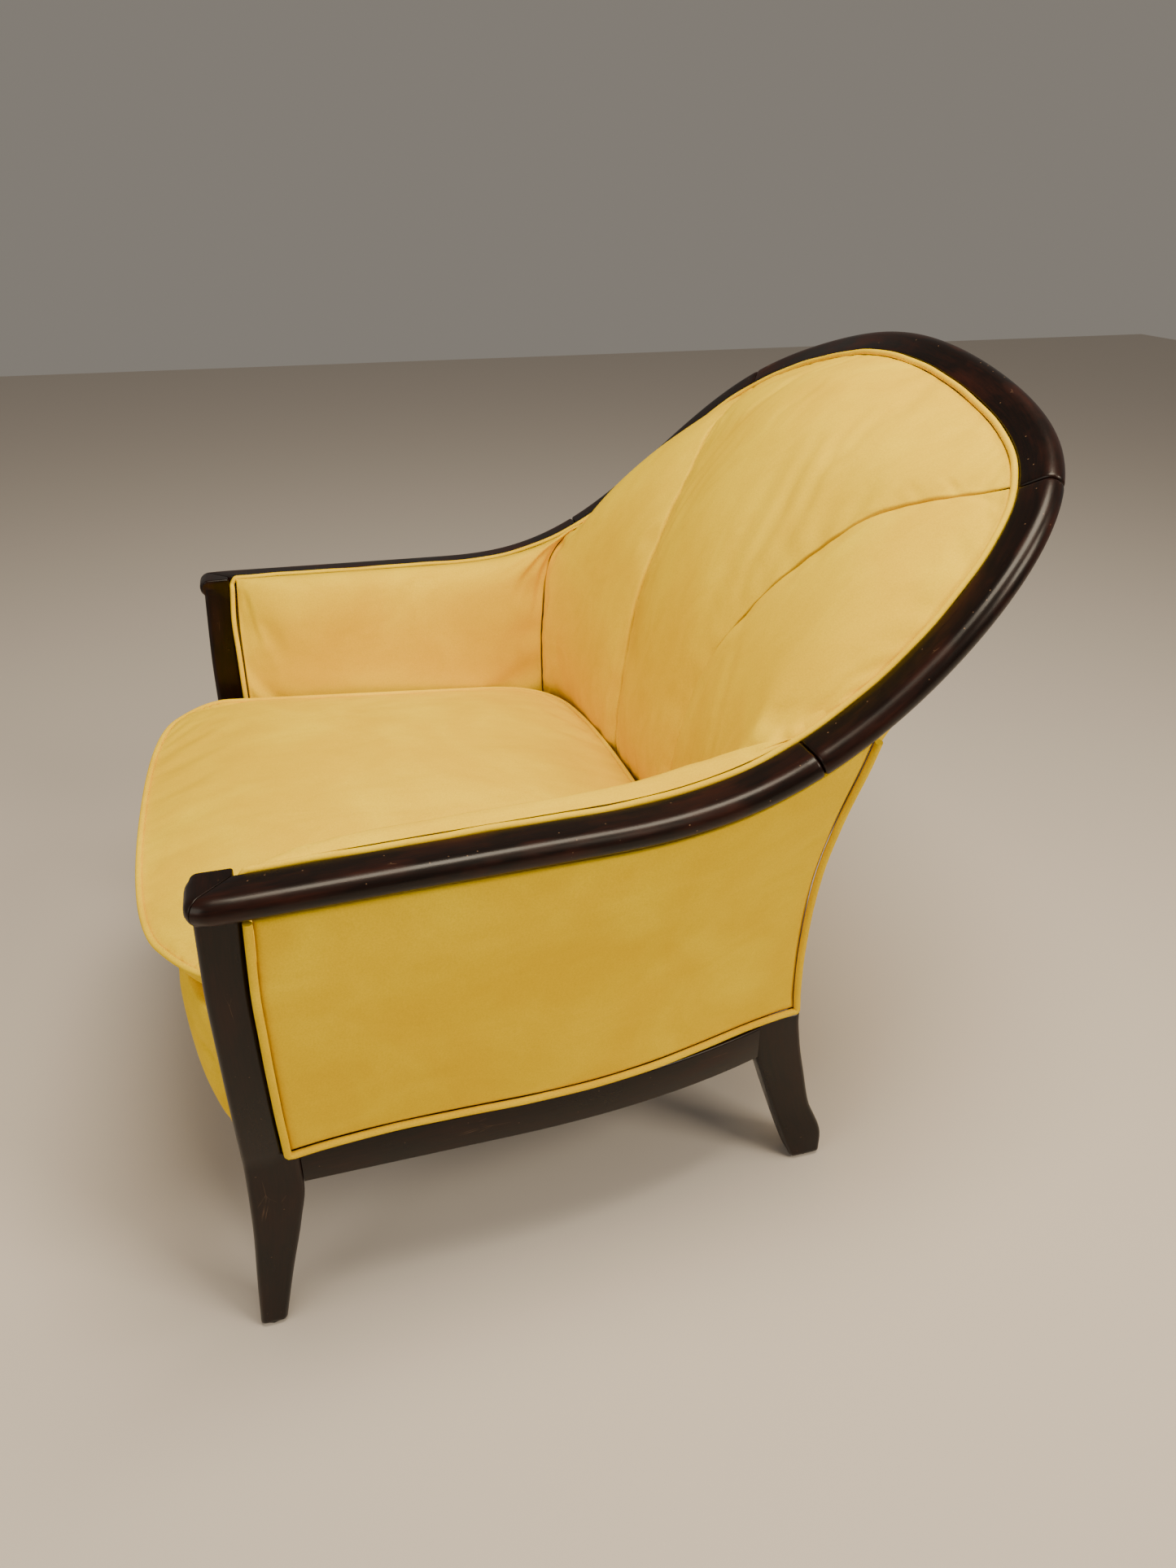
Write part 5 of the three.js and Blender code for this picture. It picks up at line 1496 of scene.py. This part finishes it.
def rimWeltPath():
    reach = -(welt["radius"] + 0.9)
    along = rimOffset(np.linspace(0.012, 1.988, 420), reach, -0.6)
    low = armFront(np.linspace(0, 0.93, 60)) + np.array([-0.6, -3.6, 0])
    corner = along[0]
    turn = [low[-1], corner + np.array([-0.4, -7.5, -8]), corner + np.array([0, -3, -1.2]), corner]
    bend = splineThrough(turn)(np.linspace(0.05, 0.95, 9))
    left = np.vstack([low, bend])
    return np.vstack([left, along, (left * np.array([-1, 1, 1]))[::-1]])


rimWelt = weltPiece("velvet_rim_welt", wander(rimWeltPath(), 0.25, 24, 1.0))
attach(rimWelt, "chair_frame")
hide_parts("rim_welt")


def panelWeltPath():
    bottom, _, front, rear = outsideEdges
    vs = np.linspace(0, 1, 40)
    reach = welt["stout"] + 0.1
    down = front(vs[::-1]) + np.array([0.8, -reach - 0.3, 0])
    base = bottom(np.linspace(0.004, 0.996, 70)) + np.array([1.0, 0, -reach])
    up = rear(vs * 0.99) + np.array([0.6, reach, 0])
    foot, head = down[-1], up[0]
    first, last = base[0], base[-1]
    turnA = [(foot[0], foot[1] + 0.2, first[2] + 1.6), (first[0], foot[1] + 1.4, first[2])]
    turnB = [(last[0], head[1] - 1.4, last[2]), (head[0], head[1] - 0.2, last[2] + 1.6)]
    return np.vstack([down[:-1], turnA, base, turnB, up[1:]])


panelWelt = weltPiece(
    "velvet_outside_arm_welt_left", wander(panelWeltPath(), 0.12, 26, 2.0), radius=welt["stout"])
panelWeltRight = mirroredPiece(panelWelt, "velvet_outside_arm_welt_right")
for piece, node in ((panelWelt, "outside_arm_welt_left"), (panelWeltRight, "outside_arm_welt_right")):
    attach(piece, "chair_frame")
    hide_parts(node)

angles = np.linspace(-math.pi, math.pi, 361)[:-1]
scaleOut = 1 - welt["radius"] / cushion["half"]
ringX = reachAt(angles) * scaleOut * np.cos(angles)
ringY = cushionMiddle + reachAt(angles) * scaleOut * np.sin(angles)
ring = np.column_stack([ringX, ringY, cushionBase(ringY) + cushion["box"] + 0.6])
cushionWelt = weltPiece("velvet_cushion_welt", ring, closed=True)
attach(cushionWelt, "loose_cushion")
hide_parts("seat_cushion_welt")
print("welts made")


# Inner frame: carried-over solids take their real finishes.

for name, node in nodes.items():
    if node.hide_render:
        continue
    if "screw" in name:
        finish = zinc
    elif any(word in name for word in ("dowel", "corner_block", "tacking", "seat_rail")):
        finish = beech
    elif "glide" in name:
        finish = nylon
    elif "web" in name:
        finish = webbing
    else:
        finish = lining
    node.data.materials.clear()
    node.data.materials.append(finish)


# Springing straps.

# A flat strap along a line of points; normalUp points out of its face.
def strapPiece(name, line, normalUp, width, thick=1.8):
    line = np.asarray(line, float)
    along = unit(np.gradient(line, axis=0))
    side = unit(np.cross(along, normalUp))
    face = unit(np.cross(side, along))
    corners = [(-1, 0), (-0.98, 0.5), (0.98, 0.5), (1, 0), (0.98, -0.5), (-0.98, -0.5)]
    rings = np.array([[p + s * width / 2 * a + f * thick * b for a, b in corners]
                      for p, s, f in zip(line, side, face)])
    return makePiece(name, *sweep(rings), material=webbing, sharp=40)


for k, x in enumerate((-195, -65, 65, 195)):
    ys = np.linspace(-293, 250, 40)
    middle = np.sin(math.pi * (ys + 293) / 543)
    heights = deckTop(ys) - seat["deckThick"] - 1.6 - 3.0 * middle
    line = np.column_stack([np.full_like(ys, x), ys, heights])
    strap = strapPiece(f"elastic_seat_web_{k + 1}", line, (0, 0, 1), 56)
    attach(strap, "chair_frame")
    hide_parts(f"seat_web_{k + 1}")


# Stapled under the seat frame; it sags a little in its middle.
def dustCover():
    half = 306.5
    left = [(half, -293), (half, -246), (326, -246), (327, 0), (seatRailOuter(110) - 7, 110),
            (seatRailOuter(208) - 7, 204), (256, 204), (256, 248)]
    outline = np.array([(float(x), float(y)) for x, y in left], float)
    outline = np.vstack([outline, outline[::-1] * np.array([-1, 1])])
    closed = densify(np.vstack([outline, outline[:1]]), 7)[:-1]
    centre = np.array([0.0, -20.0])
    rows = []
    shares = np.concatenate([np.linspace(1, 0.92, 5), np.linspace(0.84, 0.04, 13)])
    for lift, order in ((0.0, shares), (-0.9, shares[::-1])):
        for share in order:
            ring = centre + (closed - centre) * share
            sag = 5.0 * (1 - share ** 2)
            rows.append(np.column_stack([ring, np.full(len(ring), seat["railBottom"] - 0.5 + lift - sag)]))
    return closed, makePiece("lining_dust_cover", *sweep(np.array(rows), closed=True, caps=False),
                             material=lining, sharp=0)


coverOutline, cover = dustCover()
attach(cover, "chair_frame")
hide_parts("dust_cover")


# Staples round the dust cover, set along its edge by a node tree.
def stapleTree():
    tree = bpy.data.node_groups.new("staplesAlongEdge", "GeometryNodeTree")
    tree.interface.new_socket("Geometry", in_out="INPUT", socket_type="NodeSocketGeometry")
    for name in ("Spacing", "Crown", "Wire", "Turn"):
        tree.interface.new_socket(name, in_out="INPUT", socket_type="NodeSocketFloat")
    tree.interface.new_socket("Finish", in_out="INPUT", socket_type="NodeSocketMaterial")
    tree.interface.new_socket("Geometry", in_out="OUTPUT", socket_type="NodeSocketGeometry")
    given = addNode(tree, "NodeGroupInput")
    spots = addNode(tree, "GeometryNodeCurveToPoints", {
        "Curve": given.outputs["Geometry"], "Length": given.outputs["Spacing"]}, mode="LENGTH")
    size = addNode(tree, "ShaderNodeCombineXYZ", {
        "X": given.outputs["Wire"], "Y": given.outputs["Wire"], "Z": given.outputs["Crown"]})
    wireBox = addNode(tree, "GeometryNodeMeshCube", {
        "Size": size.outputs[0], "Vertices X": 2, "Vertices Y": 2, "Vertices Z": 4})
    low = addNode(tree, "ShaderNodeMath", {0: given.outputs["Turn"], 1: -1.0}, operation="MULTIPLY")
    jitter = addNode(tree, "FunctionNodeRandomValue", {
        "Min": low.outputs[0], "Max": given.outputs["Turn"], "Seed": 7}, data_type="FLOAT")
    twist = addNode(tree, "FunctionNodeAxisAngleToRotation", {
        "Axis": (1.0, 0.0, 0.0), "Angle": jitter.outputs[1]})
    turned = addNode(tree, "FunctionNodeRotateRotation", {
        "Rotation": spots.outputs["Rotation"], "Rotate By": twist.outputs[0]}, rotation_space="LOCAL")
    placed = addNode(tree, "GeometryNodeInstanceOnPoints", {
        "Points": spots.outputs["Points"], "Instance": wireBox.outputs["Mesh"],
        "Rotation": turned.outputs[0]})
    real = addNode(tree, "GeometryNodeRealizeInstances", {"Geometry": placed.outputs["Instances"]})
    done = addNode(tree, "GeometryNodeSetMaterial", {
        "Geometry": real.outputs["Geometry"], "Material": given.outputs["Finish"]})
    addNode(tree, "NodeGroupOutput", {"Geometry": done.outputs["Geometry"]})
    return tree


stapleLine = coverOutline * np.array([0.975, 0.972]) + np.array([0, -0.6])
stapleHeights = np.full(len(stapleLine), seat["railBottom"] - 2.0)
staplePath = pathObject("staple_line", np.column_stack([stapleLine, stapleHeights]), True)
staples = grown("dust_cover_staples", staplePath, stapleTree(), {
    "Spacing": 0.034, "Crown": 0.0095, "Wire": 0.0008, "Turn": 0.35, "Finish": zinc})
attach(staples, "chair_frame")
print("springing, lining and staples made")


# Room, light and camera.

def plainMaterial(name, colour, roughness):
    material, tree, shader = newMaterial(name)
    shader.inputs["Base Color"].default_value = linear(colour)
    shader.inputs["Roughness"].default_value = roughness
    return material


floorMesh = bpy.data.meshes.new("floor")
floorMesh.from_pydata([(-6, -6, 0), (6, -6, 0), (6, 6, 0), (-6, 6, 0)], [], [(0, 1, 2, 3)])
floorMesh.materials.append(plainMaterial("paleFloor", "#CFC7BF", 0.9))
floor = bpy.data.objects.new("floor", floorMesh)
scene.collection.objects.link(floor)

world = bpy.data.worlds.new("softRoom")
scene.world = world
world.use_nodes = True
world.node_tree.nodes.clear()
background = addNode(world.node_tree, "ShaderNodeBackground", {"Color": linear("#EAE0D2"), "Strength": 0.28})
addNode(world.node_tree, "ShaderNodeOutputWorld", {"Surface": background.outputs[0]})


def softbox(name, at, target, size, power, colour="#FFEFD4"):
    data = bpy.data.lights.new(name, "AREA")
    data.shape = "RECTANGLE"
    data.size, data.size_y = size
    data.energy = power
    data.color = linear(colour)[:3]
    lamp = bpy.data.objects.new(name, data)
    scene.collection.objects.link(lamp)
    lamp.location = at
    lamp.rotation_euler = (Vector(target) - Vector(at)).to_track_quat("-Z", "Y").to_euler()


softbox("ceilingLight", (0.5, 0.2, 2.6), (0, 0, 0.4), (1.3, 0.9), 68)
softbox("keyLight", (1.9, 1.5, 2.1), (0, 0, 0.45), (0.9, 0.9), 46)
softbox("fillLight", (1.2, -2.4, 1.5), (0, 0, 0.4), (1.8, 1.4), 22, "#FFF2DE")

view = {"f": 1345.83, "at": (1066.85, -201.29, 968.35), "pitch": 28.9, "heading": 73.58, "roll": 0.23}
cameraData = bpy.data.cameras.new("camera")
cameraData.sensor_width = 36
cameraData.lens = view["f"] * 36 / 1927
cameraData.clip_start = 0.02
camera = bpy.data.objects.new("camera", cameraData)
scene.collection.objects.link(camera)
aim = Euler((math.radians(90 - view["pitch"]), 0, math.radians(view["heading"]))).to_matrix()
roll = Matrix.Rotation(math.radians(view["roll"]), 3, "Z")
camera.matrix_world = Matrix.Translation(Vector(place([view["at"]])[0])) @ (aim @ roll).to_4x4()
scene.camera = camera
print("scene set")
